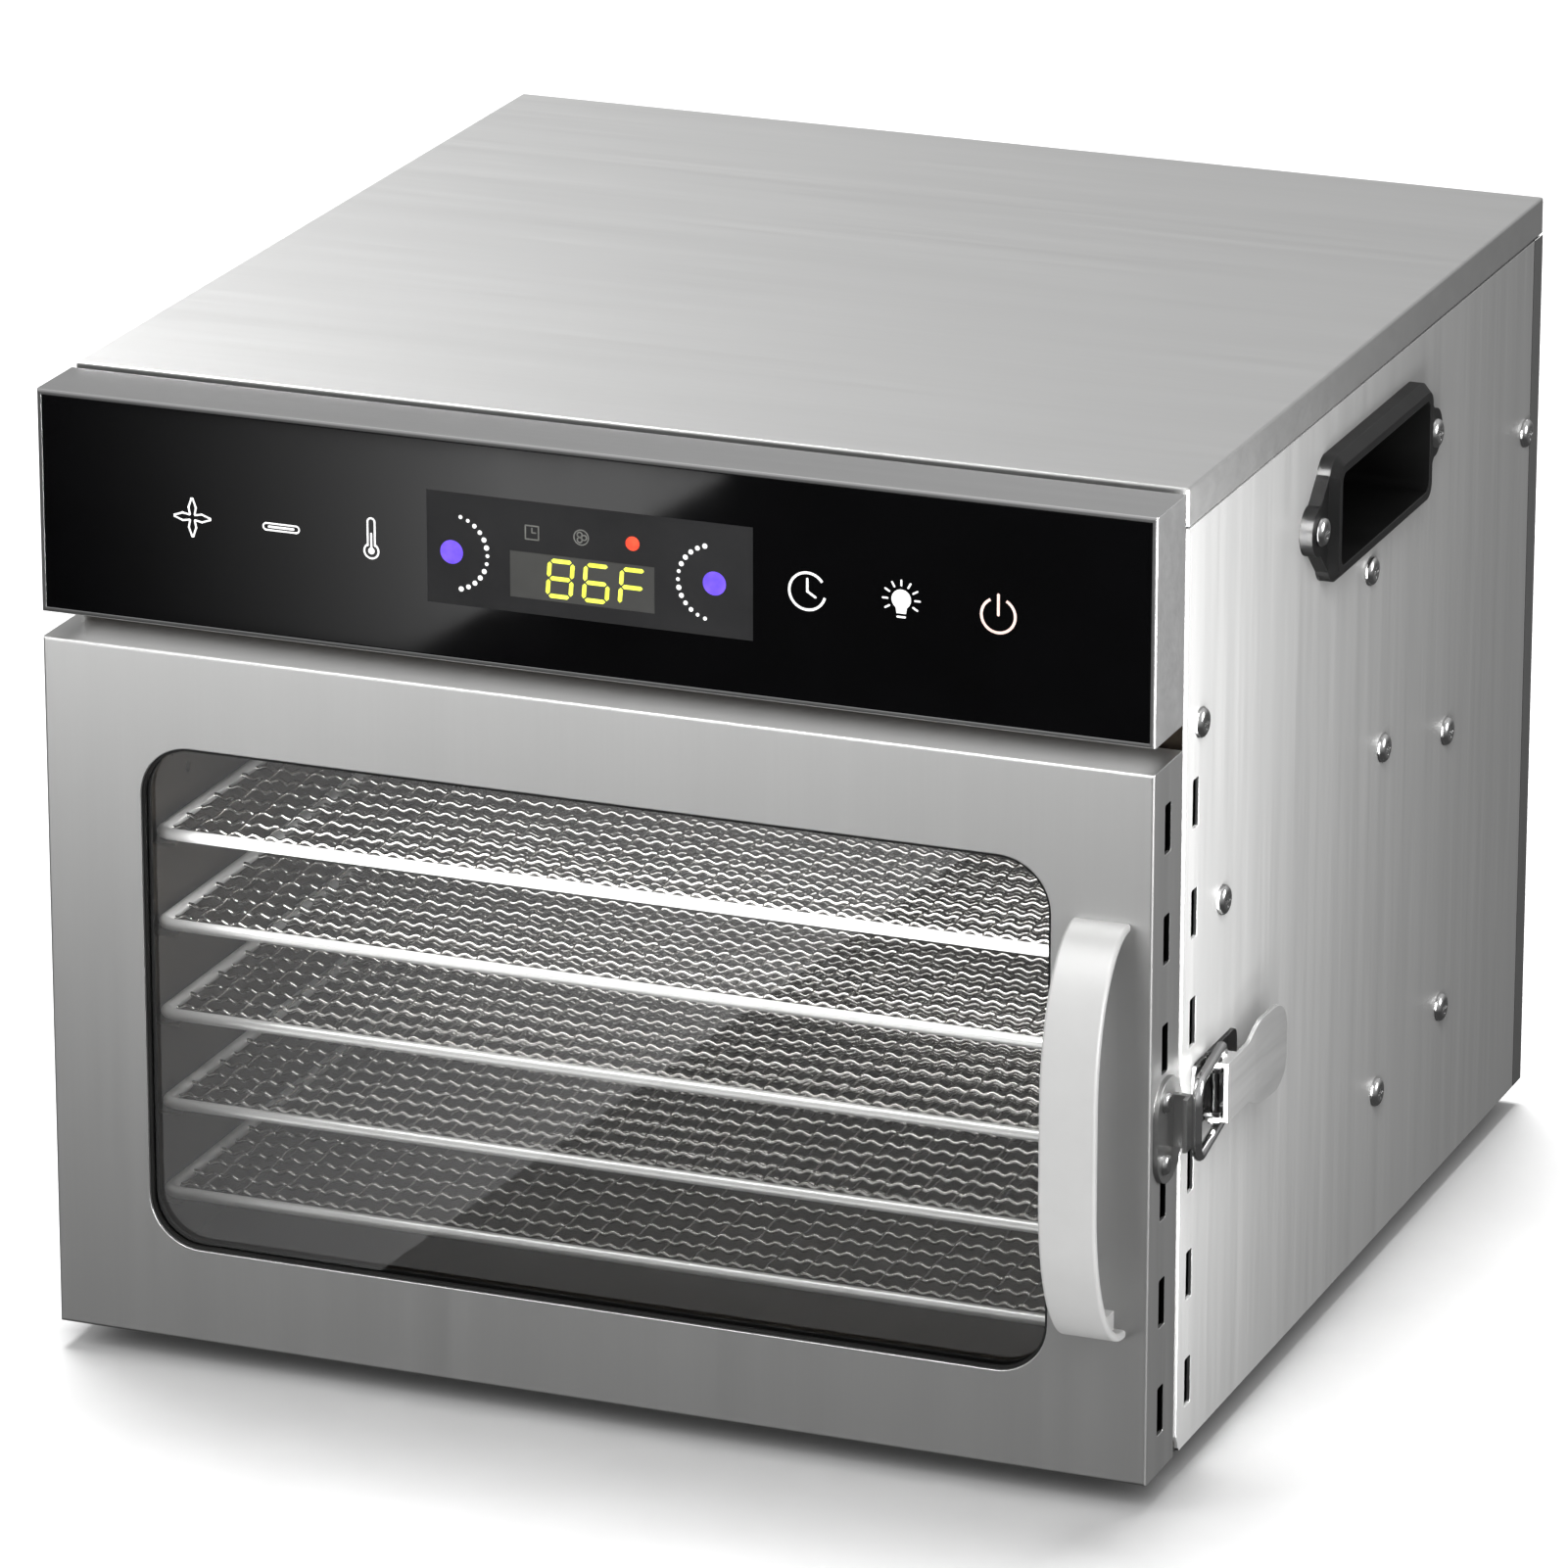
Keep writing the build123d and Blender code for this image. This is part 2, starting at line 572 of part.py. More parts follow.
save(header_frame, "header_frame")

with BuildPart() as control_glass:
    block((-side + header_wall, door_face, header_bottom + header_wall),
          (side - header_wall, header_glass_back, header_top - header_wall))
save(control_glass, "control_glass")

display_half_width, display_half_height, display_depth = 49.5, 16.6, 9.0
with BuildPart() as display_module:
    block((-display_half_width, header_glass_back, header_middle - display_half_height),
          (display_half_width, header_glass_back + display_depth, header_middle + display_half_height))
save(display_module, "display_module")

with BuildPart() as touch_board:
    board = 1.6
    board_end_gap, board_half_height = 12.0, 24.0
    pad_radius, pad_height = 5.0, 3.0
    socket_left, socket_right, socket_reach, socket_drop, socket_height = -70.0, -50.0, 6.0, 22.0, 5.0
    board_back = header_glass_back + board
    block((-side + board_end_gap, header_glass_back, header_middle - board_half_height),
          (side - board_end_gap, board_back, header_middle + board_half_height))
    block((-display_half_width, header_glass_back, header_middle - display_half_height),
          (display_half_width, board_back, header_middle + display_half_height), mode=Mode.SUBTRACT)
    # Spring pads and the ribbon socket behind the six touch fields.
    for x in (-121.5, -93.5, -65.5, 66.5, 94.5, 122.5):
        rod((x, board_back + pad_height / 2, header_middle), pad_radius, pad_height, "y")
    block((socket_left, board_back, header_middle - socket_drop),
          (socket_right, board_back + socket_reach, header_middle - socket_drop + socket_height))
save(touch_board, "touch_board")

with BuildPart() as power_board:
    # The board on four posts, with its transformer, relays, capacitor, heat sink and terminals.
    post_height, post_radius = 6.0, 3.0
    board_bottom = ceiling + sheet + post_height
    board_top = board_bottom + board
    for x, y in power_board_posts:
        rod((x, y, board_bottom - post_height / 2), post_radius, post_height, "z")
    block((-78, front + 74, board_bottom), (78, front + 166, board_top))
    # What stands on it, as left, setback from the cabinet's front, width, depth and height.
    transformer = (-60, 90, 34, 30, 26)
    relays = [(-8, 90, 16, 20, 16), (14, 90, 16, 20, 16)]
    heat_sink = (0, 130, 40, 4, 28)
    terminals = (-66, 146, 86, 12, 11)
    for left, setback, width, depth, height in (transformer, *relays, heat_sink, terminals):
        block((left, front + setback, board_top), (left + width, front + setback + depth, board_top + height))
    capacitor_x, capacitor_setback, capacitor_radius, capacitor_height = 52, 100, 9, 24
    rod((capacitor_x, front + capacitor_setback, board_top + capacitor_height / 2), capacitor_radius,
        capacitor_height, "z")
save(power_board, "power_board")

# ---------------------------------------------------------------- mains inlet
with BuildPart() as power_inlet:
    # Flange outside the rear panel, body through it, and the socket's cavity.
    flange_sheet, inlet_rim = 2.0, 5.0
    socket_half_width, socket_half_height = 12.0, 8.0
    with BuildSketch(facing(back)):
        with Locations((inlet_x, inlet_z)):
            RectangleRounded(inlet_screw_spacing + 2 * inlet_rim, inlet_height + inlet_rim - 1, 3)
    extrude(amount=-flange_sheet)
    block((inlet_x - inlet_width / 2, back - inlet_body_depth, inlet_z - inlet_height / 2),
          (inlet_x + inlet_width / 2, back, inlet_z + inlet_height / 2))
    socket_floor = back - inlet_body_depth + 3
    block((inlet_x - socket_half_width, socket_floor, inlet_z - socket_half_height),
          (inlet_x + socket_half_width, back + flange_sheet, inlet_z + socket_half_height),
          mode=Mode.SUBTRACT)
    for x in inlet_screw_xs:
        rod((x, back, inlet_z), screw_hole, 8, "y", mode=Mode.SUBTRACT)
save(power_inlet, "power_inlet")

with BuildPart() as inlet_pins:
    for x, z in ((-7, -2), (7, -2), (0, 2)):
        block((inlet_x + x - 1, socket_floor, inlet_z + z - 2), (inlet_x + x + 1, back - 2, inlet_z + z + 2))
save(inlet_pins, "inlet_pins")

# ---------------------------------------------------------------- screws and feet
def screw_group(places, turn):
    """Copies of the domed screw with their heads' undersides at the given points."""
    with BuildPart() as group:
        with Locations(*[Location(place, turn) for place in places]):
            add(dome_screw.part)
    return group


side_screws_right = screw_group([(side, y, z) for y, z in side_screws], outward(1))
save(side_screws_right, "side_screws_right")
side_screws_left = screw_group([(-side, y, z) for y, z in side_screws], outward(-1))
save(side_screws_left, "side_screws_left")

rear_screw_places = [(x, back, top - lid_flange / 2) for x in lid_screw_xs]
rear_screw_places += [(sx * rear_column_x, back, z) for sx in (-1, 1) for z in rear_column_zs]
rear_screws = screw_group(rear_screw_places, (-90, 0, 0))
save(rear_screws, "rear_screws")

with BuildPart() as rubber_feet:
    for x, y in foot_points:
        rod((x, y, bottom - foot_height / 2), foot_radius, foot_height, "z")
    fillet(rubber_feet.faces().group_by(Axis.Z)[0].edges(), foot_round)
    for x, y in foot_points:
        rod((x, y, bottom), screw_hole, 2 * foot_height, "z", mode=Mode.SUBTRACT)
        rod((x, y, bottom - foot_height), foot_screw_head + 0.5, foot_height, "z", mode=Mode.SUBTRACT)
save(rubber_feet, "rubber_feet")

with BuildPart() as foot_screws:
    foot_screw_length = foot_height
    for x, y in foot_points:
        rod((x, y, bottom - foot_height / 2 - 1), foot_screw_head, 2, "z")
        rod((x, y, bottom - foot_height / 2 + foot_screw_length / 2), screw_radius, foot_screw_length, "z")
save(foot_screws, "foot_screws")

# ---------------------------------------------------------------- carry handles
def carry_handle(sign):
    """A recessed grip: a bevelled frame with a screw ear at each end, and a blind pocket behind it."""
    ear_y, ear_z = carry_ear_spacing / 2, carry_ear_radius
    frame_y, frame_z = carry_shoulder_length / 2, carry_shoulder_height / 2
    with BuildPart() as grip:
        with BuildSketch(Plane.YZ) as frame_outline:
            with Locations((carry_y, carry_z)):
                RectangleRounded(carry_length, carry_height, carry_frame_corner)
        extrude(frame_outline.sketch, amount=carry_reach)
        chamfer(grip.faces().sort_by(Axis.X)[-1].edges(), carry_bevel - 0.5)
        with BuildSketch(Plane.YZ) as ears:
            with Locations(*carry_screws):
                Circle(carry_ear_radius)
            with Locations((carry_y, carry_z)):
                Polygon((-ear_y, -ear_z), (-frame_y, -frame_z), (frame_y, -frame_z), (ear_y, -ear_z),
                        (ear_y, ear_z), (frame_y, frame_z), (-frame_y, frame_z), (-ear_y, ear_z), align=None)
        extrude(ears.sketch, amount=carry_ear_reach)
        with BuildSketch(Plane.YZ) as pocket_wall:
            with Locations((carry_y, carry_z)):
                RectangleRounded(carry_length - carry_border, carry_height - carry_border, carry_pocket_corner)
        extrude(pocket_wall.sketch, amount=-carry_depth)
        with BuildSketch(Plane.YZ.offset(-carry_depth + carry_wall)) as pocket:
            with Locations((carry_y, carry_z)):
                RectangleRounded(carry_length - 2 * carry_border, carry_height - 2 * carry_border,
                                 carry_pocket_corner - 1)
        extrude(pocket.sketch, amount=carry_depth + carry_reach, mode=Mode.SUBTRACT)
        for y, z in carry_screws:
            rod((0, y, z), screw_hole, 4 * carry_ear_reach, "x", mode=Mode.SUBTRACT)
    with BuildPart() as placed:
        if sign > 0:
            add(grip.part.moved(Location((side, 0, 0))))
        else:
            add(grip.part.mirror(Plane.YZ).moved(Location((-side, 0, 0))))
    return placed


carry_handle_right = carry_handle(1)
save(carry_handle_right, "carry_handle_right")
carry_handle_left = carry_handle(-1)
save(carry_handle_left, "carry_handle_left")

with BuildPart() as carry_handle_screws:
    for sign in (1, -1):
        places = [(sign * (side + carry_ear_reach), y, z) for y, z in carry_screws]
        with Locations(*[Location(place, outward(sign)) for place in places]):
            add(dome_screw.part)
save(carry_handle_screws, "carry_handle_screws")

# ---------------------------------------------------------------- door
window_middle = door_middle
glass_half_width = window_width / 2 + glass_overlap
glass_half_height = window_height / 2 + glass_overlap
gasket_half_width = glass_half_width + gasket_wall
gasket_half_height = glass_half_height + gasket_wall
door_sheet_back = door_face + sheet
glass_front = door_sheet_back + gasket_lip
glass_back = glass_front + glass_thickness
gasket_back = glass_back + gasket_lip
handle_screw_zs = [door_middle + k * (handle_height / 2 - handle_thickness - handle_boss / 2) for k in (-1, 1)]
catch_y = door_face + front_gap + catch_width / 2
catch_z = bottom + latch_height - 1.5
catch_rivets_at = [(door_face + 9.0, catch_z + k * 9.3) for k in (-1, 1)]

with BuildPart() as door_shell:
    # A folded pan, open to the back, with the window, the side slots and the fastener holes.
    block((-side, door_face, bottom), (side, door_back, door_top))
    block((-side + sheet, door_sheet_back, bottom + sheet), (side - sheet, door_back, door_top - sheet),
          mode=Mode.SUBTRACT)
    fillet(door_shell.faces().sort_by(Axis.Y)[0].edges(), fold_radius)
    with BuildSketch(facing(door_face)):
        with Locations((0, window_middle)):
            RectangleRounded(window_width, window_height, window_radius)
        with Locations(*[(handle_x, z) for z in handle_screw_zs]):
            Circle(screw_hole)
    extrude(amount=-sheet, mode=Mode.SUBTRACT)
    with BuildSketch(Plane.YZ.offset(-side)):
        with Locations(*[((door_face + door_back) / 2, door_middle + z) for z in slot_centres]):
            RectangleRounded(slot_width, slot_length, 0.8)
    extrude(amount=cabinet_width, mode=Mode.SUBTRACT)
    for y, z in catch_rivets_at:
        rod((side, y, z), screw_hole, 4 * sheet, "x", mode=Mode.SUBTRACT)
    for z in hinge_screw_zs:
        rod((-side, hinge_door_screw_y, z), hinge_screw_radius + screw_clearance, 4 * sheet, "x",
            mode=Mode.SUBTRACT)
save(door_shell, "door_shell")

with BuildPart() as door_inner_panel:
    # The door's back sheet, with a box round the window that closes the hollow door.
    block((-side + sheet, door_back - sheet, bottom + sheet), (side - sheet, door_back, door_top - sheet))
    block((-gasket_half_width, gasket_back, window_middle - gasket_half_height),
          (gasket_half_width, door_back, window_middle + gasket_half_height))
    block((-gasket_half_width + sheet, gasket_back, window_middle - gasket_half_height + sheet),
          (gasket_half_width - sheet, door_back, window_middle + gasket_half_height - sheet),
          mode=Mode.SUBTRACT)
save(door_inner_panel, "door_inner_panel")

with BuildPart() as window_glass:
    with BuildSketch(facing(glass_back)):
        with Locations((0, window_middle)):
            RectangleRounded(2 * glass_half_width, 2 * glass_half_height, 10)
    extrude(amount=glass_thickness)
save(window_glass, "window_glass")

with BuildPart() as window_gasket:
    # Rubber frame that grips the glass; its lip shows as a thin dark line inside the window.
    with BuildSketch(facing(gasket_back)):
        with Locations((0, window_middle)):
            RectangleRounded(2 * gasket_half_width, 2 * gasket_half_height, 12)
            RectangleRounded(window_width - 2, window_height - 2, window_radius - 1, mode=Mode.SUBTRACT)
    extrude(amount=gasket_back - door_sheet_back)
    add(window_glass.part, mode=Mode.SUBTRACT)
save(window_gasket, "window_gasket")

seal_clearance = 0.4
with BuildPart() as door_seal:
    # Soft ring on the door's back that meets the cabinet round the chamber's mouth.
    seal_width = 5.0
    seal_half_width = mouth_half_width + 3 + seal_width
    with BuildSketch(facing(front - seal_clearance)):
        with Locations((0, (mouth_bottom + mouth_top) / 2)):
            seal_half_height = min((mouth_top - mouth_bottom) / 2 - 1, door_height / 2 - 3 * sheet)
            RectangleRounded(2 * seal_half_width, 2 * seal_half_height, 8)
            RectangleRounded(2 * (seal_half_width - seal_width), 2 * (seal_half_height - seal_width), 4,
                             mode=Mode.SUBTRACT)
    extrude(amount=front - seal_clearance - door_back)
save(door_seal, "door_seal")

with BuildPart() as door_handle:
    # A bowed strap: a flat middle and two elliptical ends that meet the door, with a threaded boss in each.
    flat_half = handle_height / 2 - handle_bow
    with BuildSketch(Plane.YZ.offset(handle_x - handle_width / 2)):
        for inset, mode in ((0.0, Mode.ADD), (handle_thickness, Mode.SUBTRACT)):
            with BuildLine():
                upper = EllipticalCenterArc((door_face, door_middle + flat_half), handle_reach - inset,
                                            handle_bow - inset, start_angle=90, arc_size=90)
                lower = EllipticalCenterArc((door_face, door_middle - flat_half), handle_reach - inset,
                                            handle_bow - inset, start_angle=180, arc_size=90)
                Line(upper @ 1, lower @ 0)
                Line(lower @ 1, upper @ 0)
            make_face(mode=mode)
    extrude(amount=handle_width)
    rims = door_handle.faces().sort_by(Axis.X)[0].edges() + door_handle.faces().sort_by(Axis.X)[-1].edges()
    fillet([edge for edge in rims if edge.center().Y < door_face - 0.5], handle_thickness * 0.36)
    for z in handle_screw_zs:
        toward_end = handle_boss_overlap if z > door_middle else -handle_boss_overlap
        low, high = z - handle_boss / 2 + toward_end, z + handle_boss / 2 + toward_end
        block((handle_x - handle_boss_width / 2, door_face - handle_boss_reach, low),
              (handle_x + handle_boss_width / 2, door_face, high))
        rod((handle_x, door_face - handle_boss_reach / 2, z), screw_radius + running_fit,
            handle_boss_reach - 1, "y", mode=Mode.SUBTRACT)
        rod((handle_x, door_face, z), screw_radius + running_fit, 4 * sheet, "y", mode=Mode.SUBTRACT)
save(door_handle, "door_handle")

with BuildPart() as door_handle_screws:
    for z in handle_screw_zs:
        rod((handle_x, door_sheet_back + 1, z), handle_screw_head, 2, "y")
        rod((handle_x, door_sheet_back - handle_screw_length / 2, z), screw_radius, handle_screw_length, "y")
save(door_handle_screws, "door_handle_screws")

# ---------------------------------------------------------------- hinges
knuckle_length = (hinge_length - (knuckle_count - 1) * knuckle_gap) / knuckle_count
leaf_gap = hinge_knuckle_radius + 0.5


def hinge_leaves(toward, own):
    """Both hinges' leaves on one side of the axis; own lists the knuckles that this leaf carries."""
    with BuildPart() as leaves:
        for middle in hinge_middles:
            ends = [hinge_axis_y + toward * leaf_gap, hinge_axis_y + toward * (leaf_gap + hinge_leaf_width)]
            low, high = sorted(ends)
            block((-side - hinge_leaf, low, middle - hinge_length / 2),
                  (-side, high, middle + hinge_length / 2))
            for index in own:
                z = middle - hinge_length / 2 + index * (knuckle_length + knuckle_gap)
                low, high = sorted((hinge_axis_y, hinge_axis_y + toward * (leaf_gap + 1)))
                block((-side - hinge_leaf, low, z), (-side, high, z + knuckle_length))
                rod((hinge_axis_x, hinge_axis_y, z + knuckle_length / 2), hinge_knuckle_radius,
                    knuckle_length, "z")
                rod((hinge_axis_x, hinge_axis_y, z + knuckle_length / 2), hinge_pin_radius + running_fit,
                    knuckle_length, "z", mode=Mode.SUBTRACT)
        screw_y = hinge_cabinet_screw_y if toward > 0 else hinge_door_screw_y
        for z in hinge_screw_zs:
            rod((-side, screw_y, z), hinge_screw_radius + screw_clearance, 6 * sheet, "x", mode=Mode.SUBTRACT)
    return leaves


hinge_cabinet_leaves = hinge_leaves(1, range(0, knuckle_count, 2))
save(hinge_cabinet_leaves, "hinge_cabinet_leaves")
hinge_door_leaves = hinge_leaves(-1, range(1, knuckle_count, 2))
save(hinge_door_leaves, "hinge_door_leaves")

with BuildPart() as hinge_pins:
    for middle in hinge_middles:
        rod((hinge_axis_x, hinge_axis_y, middle), hinge_pin_radius, hinge_length + 1, "z")
        for end in (-1, 1):
            rod((hinge_axis_x, hinge_axis_y, middle + end * (hinge_length / 2 + 1)), hinge_pin_head, 1.5, "z")
save(hinge_pins, "hinge_pins")


def hinge_screws(y):
    """Small countersunk-style screws through one line of hinge holes."""
    with BuildPart() as screws:
        for z in hinge_screw_zs:
            rod((-side - hinge_leaf - 0.5, y, z), hinge_screw_head, 1.0, "x")
            rod((-side + 1, y, z), hinge_screw_radius, 2 * (hinge_leaf + 1), "x")
        fillet(screws.faces().group_by(Axis.X)[0].edges(), 0.45)
    return screws


hinge_cabinet_screws = hinge_screws(hinge_cabinet_screw_y)
save(hinge_cabinet_screws, "hinge_cabinet_screws")
hinge_door_screws = hinge_screws(hinge_door_screw_y)
save(hinge_door_screws, "hinge_door_screws")

# ---------------------------------------------------------------- latch
# Heights are from the loop's middle, reaches out from the right side panel.
latch_z = bottom + latch_height
pivot = (side + lever_pivot_out, front + lever_pivot_setback)
loop_pivot = (side + bail_pivot_out, front + bail_pivot_setback)

with BuildPart() as catch_plate:
    # An oval plate on the door's edge with a lip folded out and forward.
    with BuildSketch(Plane.YZ.offset(side)):
        with Locations((catch_y, catch_z)):
            RectangleRounded(catch_width, catch_length, catch_width / 2 - 0.6)
        with Locations(*catch_rivets_at):
            Circle(screw_hole, mode=Mode.SUBTRACT)
    extrude(amount=catch_sheet)
    hook_y = front - hook_setback
    low, high = latch_z - hook_width / 2, latch_z + hook_width / 2
    block((side + catch_sheet - 0.2, hook_y, low), (side + hook_height, hook_y + 1.5, high))
    block((side + hook_height - 1.2, hook_y - hook_overhang, low), (side + hook_height, hook_y + 1.5, high))
save(catch_plate, "catch_plate")

with BuildPart() as catch_rivets:
    with Locations(*[Location((side + catch_sheet, y, z), outward(1)) for y, z in catch_rivets_at]):
        add(rivet.part)
save(catch_rivets, "catch_rivets")

base_half_height, ear_inner, ear_sheet = 9.5, 6.0, 1.2
base_length, base_middle, base_corner = 36.0, front + 27.0, 3.0
ear_radius, pin_radius, pin_fit = 2.7, 1.25, 0.02
with BuildPart() as latch_base:
    with BuildSketch(Plane.YZ.offset(side)):
        with Locations((base_middle, latch_z)):
            RectangleRounded(base_length, 2 * base_half_height, base_corner)
        with Locations(*latch_rivets_at):
            Circle(screw_hole, mode=Mode.SUBTRACT)
    extrude(amount=lever_sheet)
    for z in (latch_z - ear_inner - ear_sheet, latch_z + ear_inner):
        with BuildSketch(Plane.XY.offset(z)):
            with Locations(pivot):
                Circle(ear_radius)
            with Locations((side + lever_pivot_out / 2, front + lever_pivot_setback)):
                Rectangle(lever_pivot_out, 2 * ear_radius)
        extrude(amount=ear_sheet)
    rod((*pivot, latch_z), pin_radius + pin_fit, base_length, "z", mode=Mode.SUBTRACT)
save(latch_base, "latch_base")

with BuildPart() as latch_rivets:
    with Locations(*[Location((side + lever_sheet, y, z), outward(1)) for y, z in latch_rivets_at]):
        add(rivet.part)
save(latch_rivets, "latch_rivets")

lever_half_height, paddle_half_height, flange_inner = 8.9, 13.0, 7.6
lever_start = front + lever_pivot_setback - 1.5
lever_fold = front + 40.0  # where the plate starts to lift
lever_flare = front + 34.0  # where the plate starts to widen
lever_end = front + lever_end_setback
flare_end = lever_flare + 10.0
flare_round, paddle_round = 8.0, 9.0
lever_plate_out = 7.4
flange_reach = lever_plate_out + 0.3  # the flanges run a little into the plate
loop_boss = 2.3  # flange radius round the loop's pivot
with BuildPart() as latch_lever:
    # A folded lever: two flanges round the pivots, and a top plate that widens to a lifted, rounded paddle.
    with BuildSketch(Plane.XY.offset(latch_z - paddle_half_height)):
        with BuildLine():
            Polyline((side + lever_plate_out, lever_start), (side + lever_plate_out, lever_fold),
                     (side + side_reach - lever_sheet, lever_end), (side + side_reach, lever_end),
                     (side + lever_plate_out + lever_sheet, lever_fold),
                     (side + lever_plate_out + lever_sheet, lever_start), close=True)
        make_face()
    extrude(amount=2 * paddle_half_height)
    with BuildSketch(Plane.YZ.offset(side)) as leaf:
        with BuildLine():
            Polyline((lever_start, latch_z - lever_half_height), (lever_flare, latch_z - lever_half_height),
                     (flare_end, latch_z - paddle_half_height), (lever_end, latch_z - paddle_half_height),
                     (lever_end, latch_z + paddle_half_height), (flare_end, latch_z + paddle_half_height),
                     (lever_flare, latch_z + lever_half_height), (lever_start, latch_z + lever_half_height),
                     close=True)
        make_face()
        fillet(leaf.vertices().group_by(Axis.X)[-1], paddle_round)
        fillet(leaf.vertices().filter_by_position(Axis.X, lever_flare - 0.1, flare_end + 0.1), flare_round)
    extrude(amount=2 * side_reach, mode=Mode.INTERSECT)
    for z in (latch_z - lever_half_height, latch_z + flange_inner):
        with BuildSketch(Plane.XY.offset(z)):
            with Locations(pivot):
                Circle(ear_radius)
            with Locations(loop_pivot):
                Circle(loop_boss)
            with BuildLine():
                Polyline((side + lever_pivot_out, lever_start), (side + flange_reach, lever_start),
                         (side + flange_reach, front + bail_pivot_setback + loop_boss),
                         (side + bail_pivot_out, front + bail_pivot_setback + loop_boss - 0.1), close=True)
            make_face()
        extrude(amount=lever_half_height - flange_inner)
    rod((*pivot, latch_z), pin_radius + running_fit, base_length, "z", mode=Mode.SUBTRACT)
    rod((*loop_pivot, latch_z), latch_wire + running_fit, base_length, "z", mode=Mode.SUBTRACT)
save(latch_lever, "latch_lever")

with BuildPart() as latch_pin:
    pin_head = 0.6
    rod((*pivot, latch_z), pin_radius, 2 * lever_half_height + pin_head, "z")
    for end in (-1, 1):
        rod((*pivot, latch_z + end * (lever_half_height + 0.5)), 2.0, pin_head, "z")
save(latch_pin, "latch_pin")

# The loop rests on the outside of the hook's lip; its arms slope down to their pivot in the lever.
bar_out = hook_height + latch_clearance + latch_wire
with BuildPart() as latch_bail:
    bar = (side + bar_out, front - hook_setback)
    stub_end = flange_inner + 0.1
    path_points = [
        (*loop_pivot, latch_z + stub_end), (*loop_pivot, latch_z + bail_half_height),
        (*bar, latch_z + bail_half_height), (*bar, latch_z - bail_half_height),
        (*loop_pivot, latch_z - bail_half_height), (*loop_pivot, latch_z - stub_end),
    ]
    with BuildLine() as wire_path:
        FilletPolyline(*path_points, radius=[2.2, 6.0, 6.0, 2.2])
    with BuildSketch(Plane(origin=path_points[0], z_dir=(0, 0, 1))):
        Circle(latch_wire)
    sweep()
save(latch_bail, "latch_bail")

# ---------------------------------------------------------------- trays
tray_half_width = rack_inner - tray_side_clearance
tray_front = front + tray_setback
with BuildPart() as tray_one:
    # A rod rim round a crimped wire mesh, drawn here as the thin sheet that holds the same metal.
    level = tray_levels[0]
    with BuildSketch(Plane.XY.offset(level - tray_rim / 2)):
        with Locations((0, tray_front + tray_depth / 2)):
            RectangleRounded(2 * tray_half_width, tray_depth, tray_corner)
            RectangleRounded(2 * (tray_half_width - tray_rim), tray_depth - 2 * tray_rim,
                             tray_corner - tray_rim, mode=Mode.SUBTRACT)
    extrude(amount=tray_rim)
    fillet(tray_one.edges().group_by(Axis.Z)[-1] + tray_one.edges().group_by(Axis.Z)[0], tray_rim * 0.34)
    block((tray_rim - tray_half_width - 1, tray_front + tray_rim - 1, level - tray_mesh / 2),
          (tray_half_width - tray_rim + 1, tray_front + tray_depth - tray_rim + 1, level + tray_mesh / 2))
for index in range(tray_count):
    with BuildPart() as tray:
        add(tray_one.part.moved(Location((0, 0, tray_pitch * index))))
    save(tray, f"tray_{index + 1}")
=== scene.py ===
# %% [markdown]
# A table-top food dehydrator in brushed steel. The measured parts come from the imported frame, and this
# script gives them their finishes, weaves the wire trays, prints the touch keys and lights the studio.
# The first cell loads the frame and gives a way to read the box of each of its parts. Nothing made here
# may stick out of it.

# %% Load the frame
import bpy
import bmesh
import json
from math import atan2, cos, pi, radians, sin
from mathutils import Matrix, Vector

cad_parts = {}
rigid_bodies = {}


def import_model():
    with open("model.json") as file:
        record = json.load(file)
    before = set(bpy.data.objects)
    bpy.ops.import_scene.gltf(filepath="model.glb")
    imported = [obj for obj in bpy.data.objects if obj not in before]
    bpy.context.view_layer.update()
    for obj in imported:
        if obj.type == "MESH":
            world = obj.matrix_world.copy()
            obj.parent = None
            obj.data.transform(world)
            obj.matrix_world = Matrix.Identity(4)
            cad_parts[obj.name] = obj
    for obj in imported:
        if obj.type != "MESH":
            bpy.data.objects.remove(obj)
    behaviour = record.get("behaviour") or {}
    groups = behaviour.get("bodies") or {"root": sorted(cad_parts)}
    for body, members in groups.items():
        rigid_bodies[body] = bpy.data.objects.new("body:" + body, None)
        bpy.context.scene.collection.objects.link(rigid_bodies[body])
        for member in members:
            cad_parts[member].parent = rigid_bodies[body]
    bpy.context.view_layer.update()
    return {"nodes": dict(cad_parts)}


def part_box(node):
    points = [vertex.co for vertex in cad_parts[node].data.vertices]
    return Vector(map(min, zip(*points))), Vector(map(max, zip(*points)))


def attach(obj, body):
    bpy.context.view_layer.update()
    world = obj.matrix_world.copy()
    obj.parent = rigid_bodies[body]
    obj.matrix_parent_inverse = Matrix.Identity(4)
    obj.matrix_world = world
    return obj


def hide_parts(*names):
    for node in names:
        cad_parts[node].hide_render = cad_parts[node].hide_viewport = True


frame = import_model()
nodes = frame["nodes"]
mm = 0.001

# %% [markdown]
# Every place below is read off the parts themselves: the cabinet's front and sides from the lid, the
# bottom from the base sheet, the glass from its own box.

# %% Places taken from the parts
lid_low, lid_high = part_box("lid")
front, side, top = lid_low[1], lid_high[0], lid_high[2]
back = lid_high[1]
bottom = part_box("base_panel")[0][2]
glass_low, glass_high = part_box("control_glass")
window_low, window_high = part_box("window_glass")
print("cabinet", round(2 * side, 4), "wide,", round(back - front, 4), "deep,", round(top - bottom, 4), "high")

# %% [markdown]
# A long lens from a little way round to the right and above shows the front, the top and the side at
# once, and keeps their edges nearly parallel.

